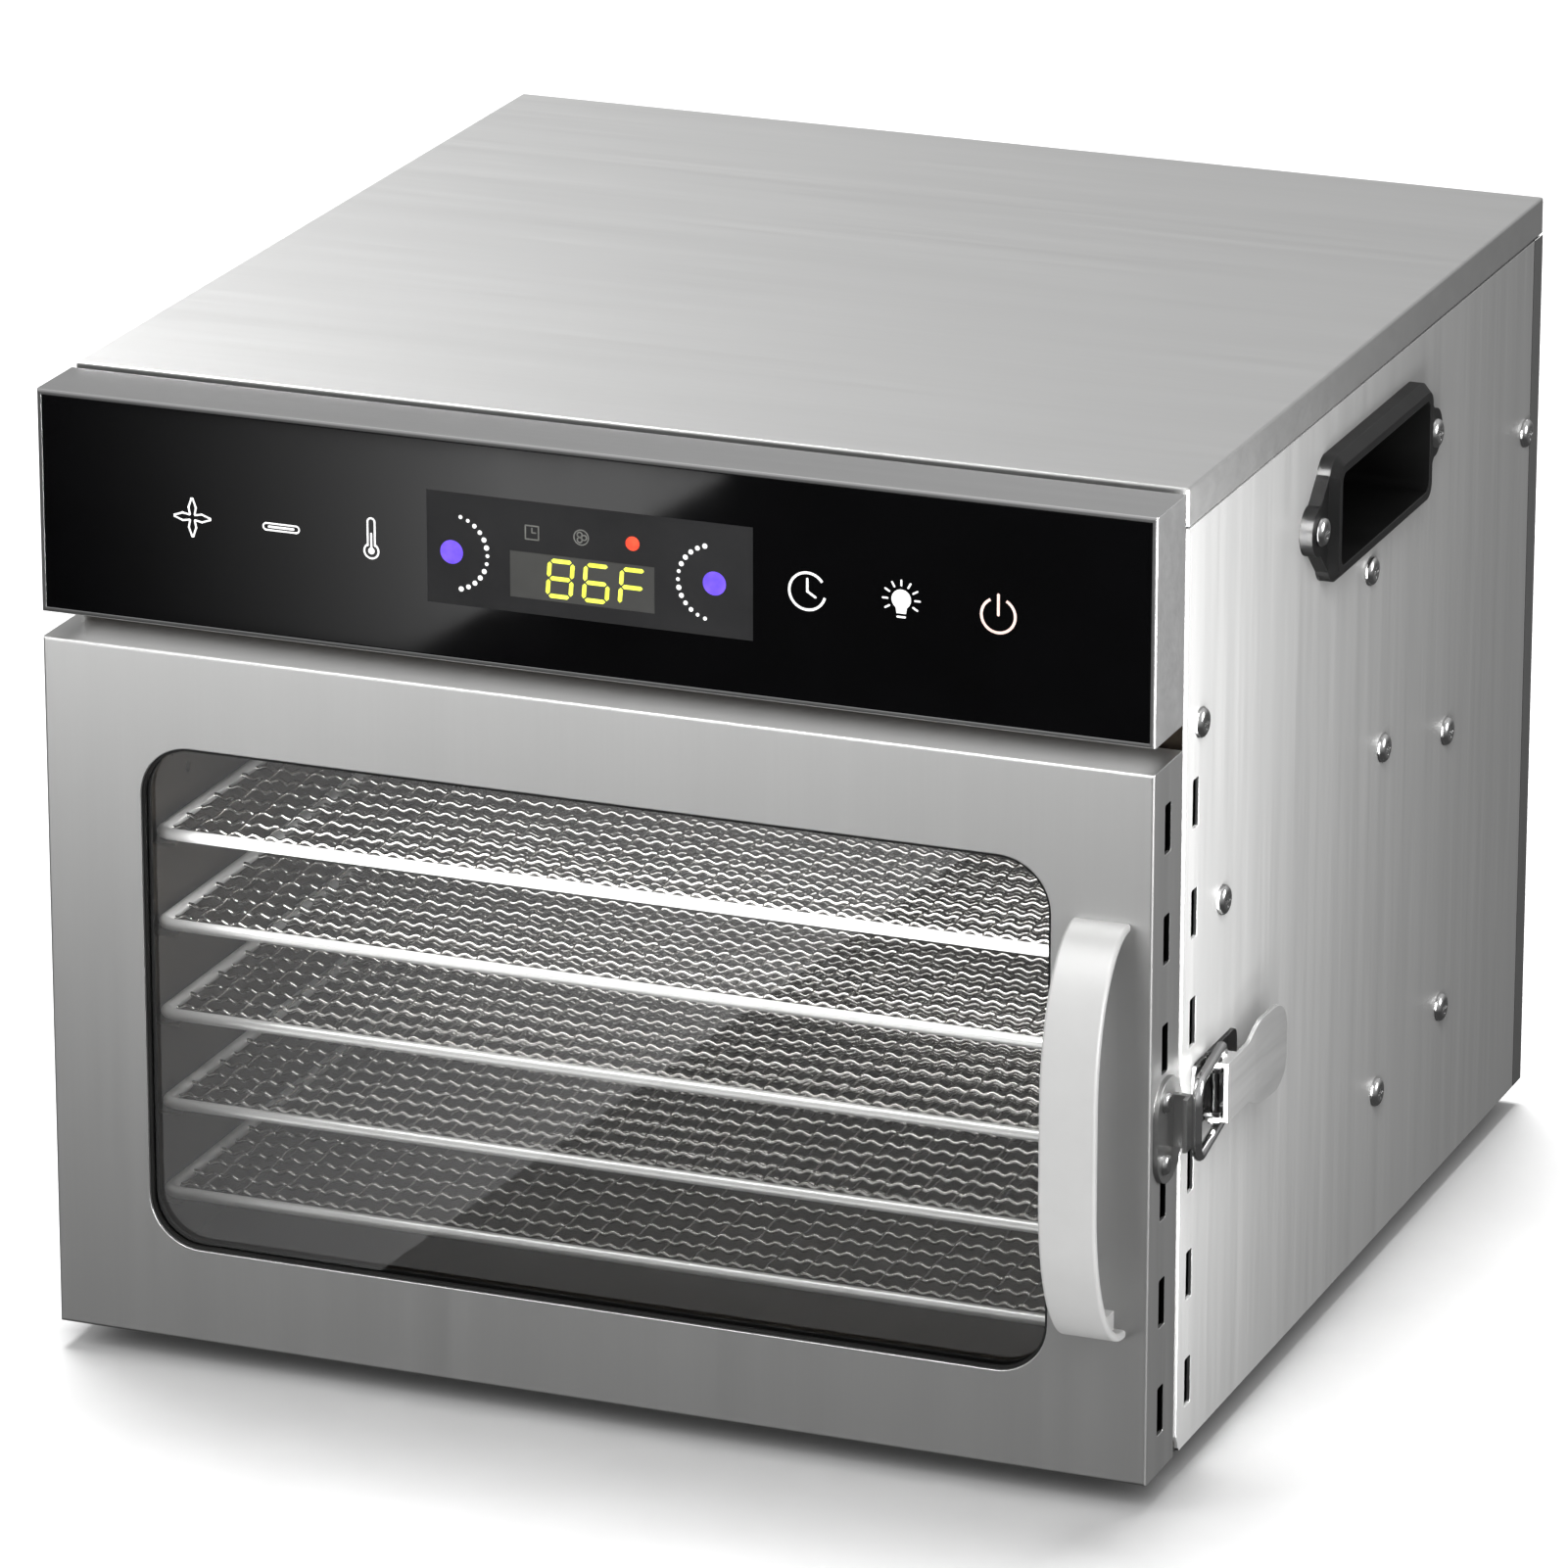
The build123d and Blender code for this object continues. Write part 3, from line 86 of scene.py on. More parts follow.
# %% Camera
camera_turn, camera_rise, camera_distance = radians(21.63), radians(18.83), 2.799
camera_target = Vector((0.00926, front + 0.102, bottom + 0.1495))
camera_back = Vector((sin(camera_turn) * cos(camera_rise), -cos(camera_turn) * cos(camera_rise),
                      sin(camera_rise)))
camera_data = bpy.data.cameras.new("catalogue_camera")
camera_data.sensor_width = 36.0
camera_data.lens = 217.2
camera = bpy.data.objects.new("catalogue_camera", camera_data)
camera.location = camera_target + camera_distance * camera_back
camera.rotation_euler = (-camera_back).to_track_quat("-Z", "Y").to_euler()
camera_data.clip_end = 30.0
bpy.context.collection.objects.link(camera)
bpy.context.scene.camera = camera
bpy.context.scene.view_settings.view_transform = "Standard"
print("camera at", [round(v, 3) for v in camera.location])

# %% [markdown]
# A shader is a tree of small nodes. This helper adds one, fills in or connects its inputs, and hands
# it back, so that a whole finish reads from top to bottom.

# %% Node helpers
def add(tree, kind, inputs=None, **settings):
    """A new node with its settings and its inputs, each a plain value or another node's output."""
    made = tree.nodes.new(kind)
    for name, value in settings.items():
        setattr(made, name, value)
    for name, value in (inputs or {}).items():
        if isinstance(value, bpy.types.NodeSocket):
            tree.links.new(value, made.inputs[name])
        else:
            made.inputs[name].default_value = value
    return made


def new_finish(name, **constants):
    """A material with one Principled shader and its plain values."""
    material = bpy.data.materials.new(name)
    material.use_nodes = True
    shader = material.node_tree.nodes["Principled BSDF"]
    for socket, value in constants.items():
        shader.inputs[socket.replace("_", " ")].default_value = value
    return material, material.node_tree, shader


def noise_on(tree, scale, stretch=(1, 1, 1), detail=3.0):
    """Noise fixed to the piece, drawn out along the axes where stretch is small."""
    place = add(tree, "ShaderNodeTexCoord")
    mapping = add(tree, "ShaderNodeMapping", {"Vector": place.outputs["Object"], "Scale": stretch})
    noise = add(tree, "ShaderNodeTexNoise", {"Vector": mapping.outputs["Vector"], "Scale": scale,
                                             "Detail": detail, "Roughness": 0.6})
    return noise.outputs["Fac"]


def between(tree, factor, low, high, start=0.3, end=0.7):
    """A value that runs from low to high as the factor goes from start to end."""
    made = add(tree, "ShaderNodeMapRange", {"Value": factor, "From Min": start, "From Max": end,
                                            "To Min": low, "To Max": high})
    return made.outputs["Result"]


def tint(tree, factor, dark, light, start=0.3, end=0.7):
    """A colour that runs from dark to light with the factor."""
    ramp = add(tree, "ShaderNodeValToRGB", {"Fac": factor})
    ramp.color_ramp.elements[0].position, ramp.color_ramp.elements[1].position = start, end
    ramp.color_ramp.elements[0].color = (*dark, 1)
    ramp.color_ramp.elements[1].color = (*light, 1)
    return ramp.outputs["Color"]


def edge_highlight_mask(tree, radius):
    """One along sharp edges and nothing on flats: how far a rounded normal leans from the true one."""
    rounded = add(tree, "ShaderNodeBevel", {"Radius": radius}, samples=6)
    true = add(tree, "ShaderNodeNewGeometry")
    lean = add(tree, "ShaderNodeVectorMath", {0: rounded.outputs["Normal"], 1: true.outputs["Normal"]},
               operation="DOT_PRODUCT")
    return between(tree, lean.outputs["Value"], 1.0, 0.0, 0.75, 0.995), rounded.outputs["Normal"]

# %% [markdown]
# Brushed sheet steel is a metal whose polish changes in long fine lines. Two layers of noise, drawn out
# along the brushing, vary its colour and roughness, a third cloudy layer is the handling and rolling
# of the sheet, and the folded edges are a little brighter, a painted highlight along them. The walls
# of slots and holes are painted near-black, as painted shade, told apart by where their normals point.

# %% Brushed steel
def brushed_steel(name, along, base, rough, contrast=0.05, edge=0.12, slots=None):
    """Steel brushed along x, y or z, with a painted highlight on its edges. Between the two y of slots, faces
    along y get painted near-black shade.
    """
    material, tree, shader = new_finish(name, Metallic=1.0)
    stretch = [1.0, 1.0, 1.0]
    stretch["xyz".index(along)] = 0.018
    fine = noise_on(tree, 900.0, stretch, 2.0)
    broad = noise_on(tree, 160.0, stretch, 3.0)
    cloud = noise_on(tree, 7.0)
    lines = add(tree, "ShaderNodeMath", {0: fine, 1: broad}, operation="ADD").outputs[0]
    mixed = add(tree, "ShaderNodeMath", {0: lines, 1: cloud}, operation="ADD").outputs[0]
    edge_highlight, rounded = edge_highlight_mask(tree, 0.0004)
    dark = [v * (1 - contrast) for v in base]
    light = [min(1.0, v * (1 + contrast)) for v in base]
    colour = tint(tree, between(tree, mixed, 0.0, 1.0, 1.1, 1.9), dark, light, 0.0, 1.0)
    # Painted highlight: the edges are lifted towards a lighter tone by edge.
    bright = add(tree, "ShaderNodeMixRGB", {"Fac": edge_highlight, "Color1": colour,
                                            "Color2": tuple(min(1.0, v + edge) for v in base) + (1,)})
    tone = bright.outputs["Color"]
    # Painted shade: between the two y of slots, walls facing along y go near-black.
    if slots:
        place = add(tree, "ShaderNodeTexCoord")
        depth = add(tree, "ShaderNodeSeparateXYZ", {0: place.outputs["Object"]}).outputs["Y"]
        lean = add(tree, "ShaderNodeSeparateXYZ", {0: place.outputs["Normal"]}).outputs["Y"]
        facing = add(tree, "ShaderNodeMath", {0: lean}, operation="ABSOLUTE").outputs[0]
        past = between(tree, depth, 0.0, 1.0, slots[0], slots[0] + 0.0002)
        short = between(tree, depth, 1.0, 0.0, slots[1], slots[1] + 0.0002)
        within = add(tree, "ShaderNodeMath", {0: past, 1: short}, operation="MULTIPLY").outputs[0]
        slot_wall_shade = add(tree, "ShaderNodeMath", {0: between(tree, facing, 0.0, 1.0, 0.3, 0.6), 1: within},
                   operation="MULTIPLY").outputs[0]
        tone = add(tree, "ShaderNodeMixRGB", {"Fac": slot_wall_shade, "Color1": tone,
                                              "Color2": (0.03, 0.03, 0.03, 1)}).outputs["Color"]
    tree.links.new(tone, shader.inputs["Base Color"])
    tree.links.new(between(tree, lines, rough - 0.012, rough + 0.012, 0.7, 1.3), shader.inputs["Roughness"])
    bump = add(tree, "ShaderNodeBump", {"Height": lines, "Strength": 0.02, "Distance": 0.00005,
                                        "Normal": rounded})
    tree.links.new(bump.outputs["Normal"], shader.inputs["Normal"])
    return material


finishes = {
    "lid_steel": brushed_steel("lid_steel", "x", (0.74, 0.74, 0.735), 0.40, 0.02),
    "side_steel": brushed_steel("side_steel", "z", (0.68, 0.68, 0.675), 0.42, 0.012,
                                slots=(front + 2 * mm, front + 14 * mm)),
    "door_steel": brushed_steel("door_steel", "z", (0.62, 0.62, 0.615), 0.38, 0.012,
                                slots=(front - 24 * mm, front - 5 * mm)),
    "header_steel": brushed_steel("header_steel", "x", (0.60, 0.60, 0.60), 0.36, 0.03),
    "back_steel": brushed_steel("back_steel", "x", (0.60, 0.60, 0.595), 0.40, 0.03),
    # Painted shade: the chamber's steel is made very dark and brown, standing in for the shade inside the
    # cabinet, with a warm painted reflection.
    "chamber_steel": brushed_steel("chamber_steel", "y", (0.11, 0.09, 0.07), 0.48, 0.10, 0.03),
    "lever_steel": brushed_steel("lever_steel", "y", (0.70, 0.70, 0.695), 0.36, 0.02),
    # Painted shade: the latch base and pin are made dark, standing in for the shadow behind the bail, with a
    # strong painted highlight on their edges.
    "shaded_latch_steel": brushed_steel("shaded_latch_steel", "z", (0.16, 0.16, 0.16), 0.28, 0.05, 0.3),
    "hinge_steel": brushed_steel("hinge_steel", "z", (0.55, 0.55, 0.55), 0.30, 0.04),
}
print("steels:", ", ".join(finishes))

# %% [markdown]
# Small bright fittings, cast and moulded pieces each get a short recipe of their own: a colour that
# drifts, a roughness that drifts, and a bump at the scale of the real surface.

# %% Fittings, mouldings and electrics
def mottled(name, dark, light, rough, grain_scale, bump_depth, edge_highlight_tone=None, spread=0.08, **constants):
    """A finish whose tone and roughness drift over the piece, with a fine bump and softened edges. An
    edge_highlight_tone, if given, paints a highlight along the edges.
    """
    material, tree, shader = new_finish(name, **constants)
    drift = noise_on(tree, 35.0, detail=4.0)
    colour = tint(tree, drift, dark, light)
    edge_highlight, rounded = edge_highlight_mask(tree, 0.0005)
    # Painted highlight: the edges take the lighter edge tone.
    if edge_highlight_tone:
        mix = add(tree, "ShaderNodeMixRGB", {"Fac": edge_highlight, "Color1": colour, "Color2": (*edge_highlight_tone, 1)})
        colour = mix.outputs["Color"]
    tree.links.new(colour, shader.inputs["Base Color"])
    tree.links.new(between(tree, drift, rough - spread, rough + spread), shader.inputs["Roughness"])
    bump = add(tree, "ShaderNodeBump", {"Height": noise_on(tree, grain_scale), "Strength": 0.25,
                                        "Distance": bump_depth, "Normal": rounded})
    tree.links.new(bump.outputs["Normal"], shader.inputs["Normal"])
    return material


finishes.update({
    "bright_fastener": mottled("bright_fastener", (0.70, 0.70, 0.70), (0.86, 0.86, 0.86), 0.20, 900.0,
                               0.00003, spread=0.05, Metallic=1.0),
    "latch_chrome": mottled("latch_chrome", (0.78, 0.78, 0.79), (0.90, 0.90, 0.90), 0.12, 500.0, 0.00002,
                            spread=0.04, Metallic=1.0),
    # The door handle and the black grips are lighter on their edges: a painted highlight.
    "handle_satin": mottled("handle_satin", (0.56, 0.56, 0.555), (0.60, 0.60, 0.595), 0.44, 1400.0, 0.00002,
                            edge_highlight_tone=(0.78, 0.78, 0.78), spread=0.03, Metallic=0.25),
    "black_grip": mottled("black_grip", (0.012, 0.012, 0.012), (0.022, 0.022, 0.022), 0.40, 1500.0, 0.00006,
                          edge_highlight_tone=(0.07, 0.07, 0.07)),
    "rubber": mottled("rubber", (0.014, 0.014, 0.014), (0.028, 0.028, 0.027), 0.72, 1100.0, 0.00008),
    "silicone": mottled("silicone", (0.30, 0.30, 0.295), (0.36, 0.36, 0.35), 0.55, 900.0, 0.00003),
    "tray_wire": mottled("tray_wire", (0.50, 0.49, 0.47), (0.66, 0.65, 0.63), 0.14, 600.0, 0.00003,
                         spread=0.06, Metallic=1.0),
    "tray_rod": mottled("tray_rod", (0.86, 0.86, 0.855), (0.95, 0.95, 0.945), 0.34, 500.0, 0.00002,
                        spread=0.04, Metallic=0.55),
    "dark_moulding": mottled("dark_moulding", (0.03, 0.03, 0.032), (0.05, 0.05, 0.052), 0.5, 1300.0, 0.00004),
    "circuit_board": mottled("circuit_board", (0.015, 0.10, 0.035), (0.03, 0.17, 0.06), 0.38, 300.0, 0.0001),
    "probe_brass": mottled("probe_brass", (0.66, 0.48, 0.22), (0.78, 0.60, 0.32), 0.28, 500.0, 0.00003,
                           Metallic=1.0),
    "fan_aluminium": mottled("fan_aluminium", (0.58, 0.58, 0.59), (0.72, 0.72, 0.73), 0.36, 700.0, 0.00003,
                             Metallic=1.0),
    "motor_case": mottled("motor_case", (0.34, 0.35, 0.36), (0.46, 0.47, 0.48), 0.42, 600.0, 0.00004,
                          Metallic=1.0),
    "heater_sheath": mottled("heater_sheath", (0.10, 0.085, 0.075), (0.24, 0.19, 0.15), 0.5, 400.0, 0.00006,
                             Metallic=0.8),
    "lamp_white": mottled("lamp_white", (0.74, 0.74, 0.70), (0.84, 0.84, 0.80), 0.5, 900.0, 0.00003),
    "panel_glass": mottled("panel_glass", (0.0012, 0.0012, 0.0014), (0.002, 0.002, 0.0024), 0.045, 8.0,
                           0.000002, spread=0.012, IOR=1.3),
})
print(len(finishes), "finishes so far")

# %% [markdown]
# The door's pane is clear glass. Cycles would let no lamp through it, so rays that only ask whether a
# lamp is in sight see plain transparency, while the camera still sees real glass.

# %% Clear glass
def clear_glass(name, colour, smear):
    """Glass with a faint smear of cleaning in its polish."""
    material, tree, shader = new_finish(name, Base_Color=(*colour, 1), IOR=1.45, Transmission_Weight=1.0)
    tree.links.new(between(tree, noise_on(tree, 14.0), 0.0, smear), shader.inputs["Roughness"])
    rays = add(tree, "ShaderNodeLightPath")
    through = add(tree, "ShaderNodeBsdfTransparent", {"Color": (*colour, 1)})
    choice = add(tree, "ShaderNodeMixShader", {0: rays.outputs["Is Shadow Ray"], 1: shader.outputs["BSDF"],
                                               2: through.outputs["BSDF"]})
    tree.links.new(choice.outputs["Shader"], tree.nodes["Material Output"].inputs["Surface"])
    return material


finishes["window_glass"] = clear_glass("window_glass", (0.93, 0.93, 0.925), 0.02)
finishes["lamp_glass"] = clear_glass("lamp_glass", (0.95, 0.93, 0.86), 0.25)

# %% [markdown]
# Each part of the frame now takes its finish. The list goes by finish, so that a finish shows at a
# glance what it is used on.

# %% Finishes onto the parts
worn_by = {
    "lid_steel": ["lid"],
    "side_steel": ["side_panel_right", "side_panel_left"],
    "lever_steel": ["latch_lever", "catch_plate"],
    "back_steel": ["rear_panel", "base_panel"],
    "door_steel": ["door_shell"],
    "header_steel": ["header_frame"],
    "chamber_steel": ["door_inner_panel", "front_frame", "divider_plate", "chamber_floor", "tray_rack_right",
                      "tray_rack_left", "rack_standoffs", "fan_baffle"],
    "hinge_steel": ["hinge_cabinet_leaves", "hinge_door_leaves", "hinge_pins", "motor_bracket",
                    "heater_clips"],
    "bright_fastener": ["side_screws_right", "side_screws_left", "rear_screws", "foot_screws",
                        "carry_handle_screws", "door_handle_screws", "hinge_cabinet_screws",
                        "hinge_door_screws", "catch_rivets", "latch_rivets", "inlet_pins"],
    "latch_chrome": ["latch_bail"],
    "shaded_latch_steel": ["latch_base", "latch_pin"],
    "handle_satin": ["door_handle"],
    "black_grip": ["carry_handle_right", "carry_handle_left"],
    "rubber": ["rubber_feet", "window_gasket"],
    "silicone": ["door_seal"],
    "tray_wire": [f"tray_{number}" for number in range(1, 6)],
    "dark_moulding": ["display_module", "power_inlet", "thermal_cutout"],
    "circuit_board": ["touch_board", "power_board"],
    "probe_brass": ["temperature_probe"],
    "fan_aluminium": ["fan_rotor"],
    "motor_case": ["fan_motor"],
    "heater_sheath": ["heater_element"],
    "lamp_white": ["lamp_holder"],
    "lamp_glass": ["lamp_lens"],
    "panel_glass": ["control_glass"],
    "window_glass": ["window_glass"],
}
for finish, parts in worn_by.items():
    for part in parts:
        nodes[part].data.materials.clear()
        nodes[part].data.materials.append(finishes[finish])
dressed = {part for parts in worn_by.values() for part in parts}
print("parts without a finish:", sorted(set(nodes) - dressed))

# %% [markdown]
# Geometry Nodes build what repeats. A tree's sizes are named inputs, and the modifier's copies of them
# are set by their identifiers before the piece is first evaluated. The result is turned into a plain
# mesh, because the modifier itself would not survive the export.

# %% Geometry Nodes helpers
def grower(name, sizes):
    """A new tree with named size inputs, a Material input, and its first and last nodes."""
    tree = bpy.data.node_groups.new(name, "GeometryNodeTree")
    for label, value in sizes.items():
        kind = "NodeSocketInt" if isinstance(value, int) else "NodeSocketFloat"
        tree.interface.new_socket(label, in_out="INPUT", socket_type=kind).default_value = value
    tree.interface.new_socket("Material", in_out="INPUT", socket_type="NodeSocketMaterial")
    tree.interface.new_socket("Geometry", in_out="OUTPUT", socket_type="NodeSocketGeometry")
    return tree, add(tree, "NodeGroupInput"), add(tree, "NodeGroupOutput")


def close_tree(tree, start, end, geometry):
    """Makes instances real, gives them the material and ends the tree."""
    real = add(tree, "GeometryNodeRealizeInstances", {"Geometry": geometry})
    dressed = add(tree, "GeometryNodeSetMaterial", {"Geometry": real.outputs[0],
                                                    "Material": start.outputs["Material"]})
    tree.links.new(dressed.outputs[0], end.inputs["Geometry"])


def sums(tree, operation, first, second):
    """The result of one Math node."""
    return add(tree, "ShaderNodeMath", {0: first, 1: second}, operation=operation).outputs[0]


def vector(tree, x=0.0, y=0.0, z=0.0):
    """A vector from three values or outputs."""
    return add(tree, "ShaderNodeCombineXYZ", {"X": x, "Y": y, "Z": z}).outputs["Vector"]


def grow(name, tree, sizes, material):
    """A plain mesh object grown by a tree with these sizes."""
    seed = bpy.data.objects.new(name + "_seed", bpy.data.meshes.new(name + "_seed"))
    bpy.context.collection.objects.link(seed)
    modifier = seed.modifiers.new("grow", "NODES")
    modifier.node_group = tree
    for item in tree.interface.items_tree:
        if item.in_out == "INPUT" and item.name in sizes:
            modifier[item.identifier] = sizes[item.name]
        if item.in_out == "INPUT" and item.name == "Material":
            modifier[item.identifier] = material
    graph = bpy.context.evaluated_depsgraph_get()
    mesh = bpy.data.meshes.new_from_object(seed.evaluated_get(graph))
    mesh.name = name
    bpy.data.objects.remove(seed)
    piece = bpy.data.objects.new(name, mesh)
    bpy.context.collection.objects.link(piece)
    print(name, len(mesh.polygons), "faces")
    return piece

# %% [markdown]
# A tray is a thick rod bent into a rounded rectangle with a crimped wire mesh welded inside it. One tree
# makes both: the rod is a circle swept along a filleted rectangle, and each wire is a line whose points
# rise and fall as a sine. Every second wire is turned over, and the thin cross wires stand further apart.

# %% Tray tree
def wave_wires(tree, start, length, count, pitch, half_wave, radius, along_x):
    """Instances of one crimped wire, side by side: each is length long and they stand a pitch apart."""
    half = sums(tree, "MULTIPLY", length, 0.5)
    low = sums(tree, "MULTIPLY", half, -1.0)
    line = add(tree, "GeometryNodeCurvePrimitiveLine",
               {"Start": vector(tree, low) if along_x else vector(tree, y=low),
                "End": vector(tree, half) if along_x else vector(tree, y=half)})
    steps = sums(tree, "MULTIPLY", sums(tree, "DIVIDE", length, half_wave), 3.0)
    points = add(tree, "GeometryNodeResampleCurve", {"Curve": line.outputs[0], "Count": steps})
    spot = add(tree, "ShaderNodeSeparateXYZ", {0: add(tree, "GeometryNodeInputPosition").outputs[0]})
    turn = sums(tree, "DIVIDE", sums(tree, "MULTIPLY", spot.outputs[0 if along_x else 1], pi), half_wave)
    rise = sums(tree, "MULTIPLY", sums(tree, "SINE", turn, 0.0), start.outputs["Crimp"])
    bent = add(tree, "GeometryNodeSetPosition", {"Geometry": points.outputs[0],
                                                 "Offset": vector(tree, z=rise)})
    ring = add(tree, "GeometryNodeCurvePrimitiveCircle", {"Resolution": 4, "Radius": radius})
    wire = add(tree, "GeometryNodeCurveToMesh", {"Curve": bent.outputs[0],
                                                 "Profile Curve": ring.outputs[0]})
    first = sums(tree, "MULTIPLY", sums(tree, "MULTIPLY", sums(tree, "SUBTRACT", count, 1.0), pitch), -0.5)
    row = add(tree, "GeometryNodeMeshLine",
              {"Count": count, "Start Location": vector(tree, y=first) if along_x else vector(tree, first),
               "Offset": vector(tree, y=pitch) if along_x else vector(tree, pitch)})
    odd = sums(tree, "MODULO", add(tree, "GeometryNodeInputIndex").outputs[0], 2.0)
    flip = sums(tree, "MULTIPLY", odd, pi)
    return add(tree, "GeometryNodeInstanceOnPoints",
               {"Points": row.outputs[0], "Instance": wire.outputs[0],
                "Rotation": vector(tree, flip) if along_x else vector(tree, y=flip)}).outputs[0]


tray_tree, tray_in, tray_out = grower("woven_tray", {"Width": 0.3, "Depth": 0.25, "Rim Radius": 0.00175,
                                                     "Corner": 0.01, "Row Pitch": 0.0065, "Rows": 37,
                                                     "Cross Pitch": 0.0112, "Crosses": 26,
                                                     "Row Wave": 0.0028, "Wire Radius": 0.00075,
                                                     "Cross Radius": 0.00045, "Crimp": 0.00055,
                                                     "Middle Y": 0.0, "Height": 0.0})
rim_width = sums(tray_tree, "SUBTRACT", tray_in.outputs["Width"],
                 sums(tray_tree, "MULTIPLY", tray_in.outputs["Rim Radius"], 2.0))
rim_depth = sums(tray_tree, "SUBTRACT", tray_in.outputs["Depth"],
                 sums(tray_tree, "MULTIPLY", tray_in.outputs["Rim Radius"], 2.0))
rim_path = add(tray_tree, "GeometryNodeCurvePrimitiveQuadrilateral", {"Width": rim_width,
                                                                      "Height": rim_depth})
rim_bends = add(tray_tree, "GeometryNodeFilletCurve", {"Curve": rim_path.outputs[0],
                                                       "Radius": tray_in.outputs["Corner"],
                                                       "Count": 8}, mode="POLY")
rim_ring = add(tray_tree, "GeometryNodeCurvePrimitiveCircle", {"Resolution": 16,
                                                               "Radius": tray_in.outputs["Rim Radius"]})
rim_rod = add(tray_tree, "GeometryNodeCurveToMesh", {"Curve": rim_bends.outputs[0],
                                                     "Profile Curve": rim_ring.outputs[0]})
rim_marked = add(tray_tree, "GeometryNodeStoreNamedAttribute",
                 {"Geometry": rim_rod.outputs[0], "Name": "rod", "Value": True}, data_type="BOOLEAN",
                 domain="FACE")
rows = wave_wires(tray_tree, tray_in, rim_width, tray_in.outputs["Rows"], tray_in.outputs["Row Pitch"],
                  tray_in.outputs["Row Wave"], tray_in.outputs["Wire Radius"], True)
crosses = wave_wires(tray_tree, tray_in, rim_depth, tray_in.outputs["Crosses"],
                     tray_in.outputs["Cross Pitch"], tray_in.outputs["Row Pitch"],
                     tray_in.outputs["Cross Radius"], False)
tray_join = add(tray_tree, "GeometryNodeJoinGeometry")
for part in (rim_marked.outputs[0], rows, crosses):
    tray_tree.links.new(part, tray_join.inputs[0])
tray_place = add(tray_tree, "GeometryNodeTransform",
                 {"Geometry": tray_join.outputs[0],
                  "Translation": vector(tray_tree, 0.0, tray_in.outputs["Middle Y"],
                                        tray_in.outputs["Height"])})
tray_real = add(tray_tree, "GeometryNodeRealizeInstances", {"Geometry": tray_place.outputs[0]})
tray_wired = add(tray_tree, "GeometryNodeSetMaterial", {"Geometry": tray_real.outputs[0],
                                                        "Material": tray_in.outputs["Material"]})
is_rod = add(tray_tree, "GeometryNodeInputNamedAttribute", {"Name": "rod"}, data_type="BOOLEAN")
tray_rodded = add(tray_tree, "GeometryNodeSetMaterial",
                  {"Geometry": tray_wired.outputs[0], "Selection": is_rod.outputs["Attribute"],
                   "Material": finishes["tray_rod"]})
tray_tree.links.new(tray_rodded.outputs[0], tray_out.inputs["Geometry"])

# %% [markdown]
# Each tray of the frame is stood for by its own woven copy, sized from the tray's box. A rim seam on the
# real tray is hidden at the back, so the rod is one closed ring here.

# %% Five woven trays
row_pitch, cross_pitch = 9.7 * mm, 11.2 * mm
for number in range(1, 6):
    low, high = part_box(f"tray_{number}")
    width, depth = high[0] - low[0], high[1] - low[1]
    rim_radius = (high[2] - low[2]) / 2
    tray = grow(f"tray_{number}_wirework", tray_tree,
                {"Width": width, "Depth": depth, "Rim Radius": rim_radius, "Corner": 4 * mm,
                 "Row Pitch": row_pitch, "Rows": int((depth - 4 * rim_radius) / row_pitch),
                 "Cross Pitch": cross_pitch, "Crosses": int((width - 4 * rim_radius) / cross_pitch),
                 "Row Wave": 2.8 * mm, "Wire Radius": 0.75 * mm, "Cross Radius": 0.45 * mm,
                 "Crimp": 0.55 * mm, "Middle Y": (low[1] + high[1]) / 2,
                 "Height": (low[2] + high[2]) / 2}, finishes["tray_wire"])
    tray.data.attributes.remove(tray.data.attributes["rod"])
    for face in tray.data.polygons:
        face.use_smooth = True
    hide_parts(f"tray_{number}")
    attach(tray, f"tray_{number}")

# %% [markdown]
# The touch keys are printed on the header's glass. Each sign is drawn from strokes, rings and discs, all
# thin raised prints, and the drawing works in millimetres across and up from a key's middle.

# %% Drawing helpers for the prints
print_depth = 0.05 * mm
glass_face = glass_low[1]


def raise_print(mesh, outline, shift=(0.0, 0.0), depth=print_depth):
    """A flat closed outline on the glass, as a thin plate. Points run anticlockwise from the front."""
    centre_x, centre_z = shift
    rings = []
    for y in (glass_face, glass_face - depth):
        rings.append([mesh.verts.new((centre_x + x * mm, y, centre_z + z * mm)) for x, z in outline])
    rear, face = rings
    mesh.faces.new(face)
    mesh.faces.new(rear[::-1])
    for i, vertex in enumerate(rear):
        following = (i + 1) % len(rear)
        mesh.faces.new((vertex, rear[following], face[following], face[i]))


def disc(mesh, place, radius, shift, sides=28):
    """A round dot."""
    x, z = place
    outline = [(x + radius * cos(2 * pi * i / sides), z + radius * sin(2 * pi * i / sides))
               for i in range(sides)]
    raise_print(mesh, outline, shift)


def stroke(mesh, start, stop, width, shift):
    """A straight line with round ends."""
    (x0, z0), (x1, z1) = start, stop
    heading = atan2(z1 - z0, x1 - x0)
    outline = []
    for (x, z), turn in (((x1, z1), heading - pi / 2), ((x0, z0), heading + pi / 2)):
        for i in range(9):
            angle = turn + pi * i / 8
            outline.append((x + width / 2 * cos(angle), z + width / 2 * sin(angle)))
    raise_print(mesh, outline, shift)


def arc(mesh, middle, radius, first, last, width, shift, steps=28):
    """Part of a ring, between two angles in degrees."""
    angles = [radians(first + (last - first) * i / steps) for i in range(steps + 1)]
    for a, b in zip(angles, angles[1:]):
        corners = [(middle[0] + r * cos(t), middle[1] + r * sin(t))
                   for r, t in ((radius - width / 2, a), (radius + width / 2, a), (radius + width / 2, b),
                                (radius - width / 2, b))]
        raise_print(mesh, corners, shift)


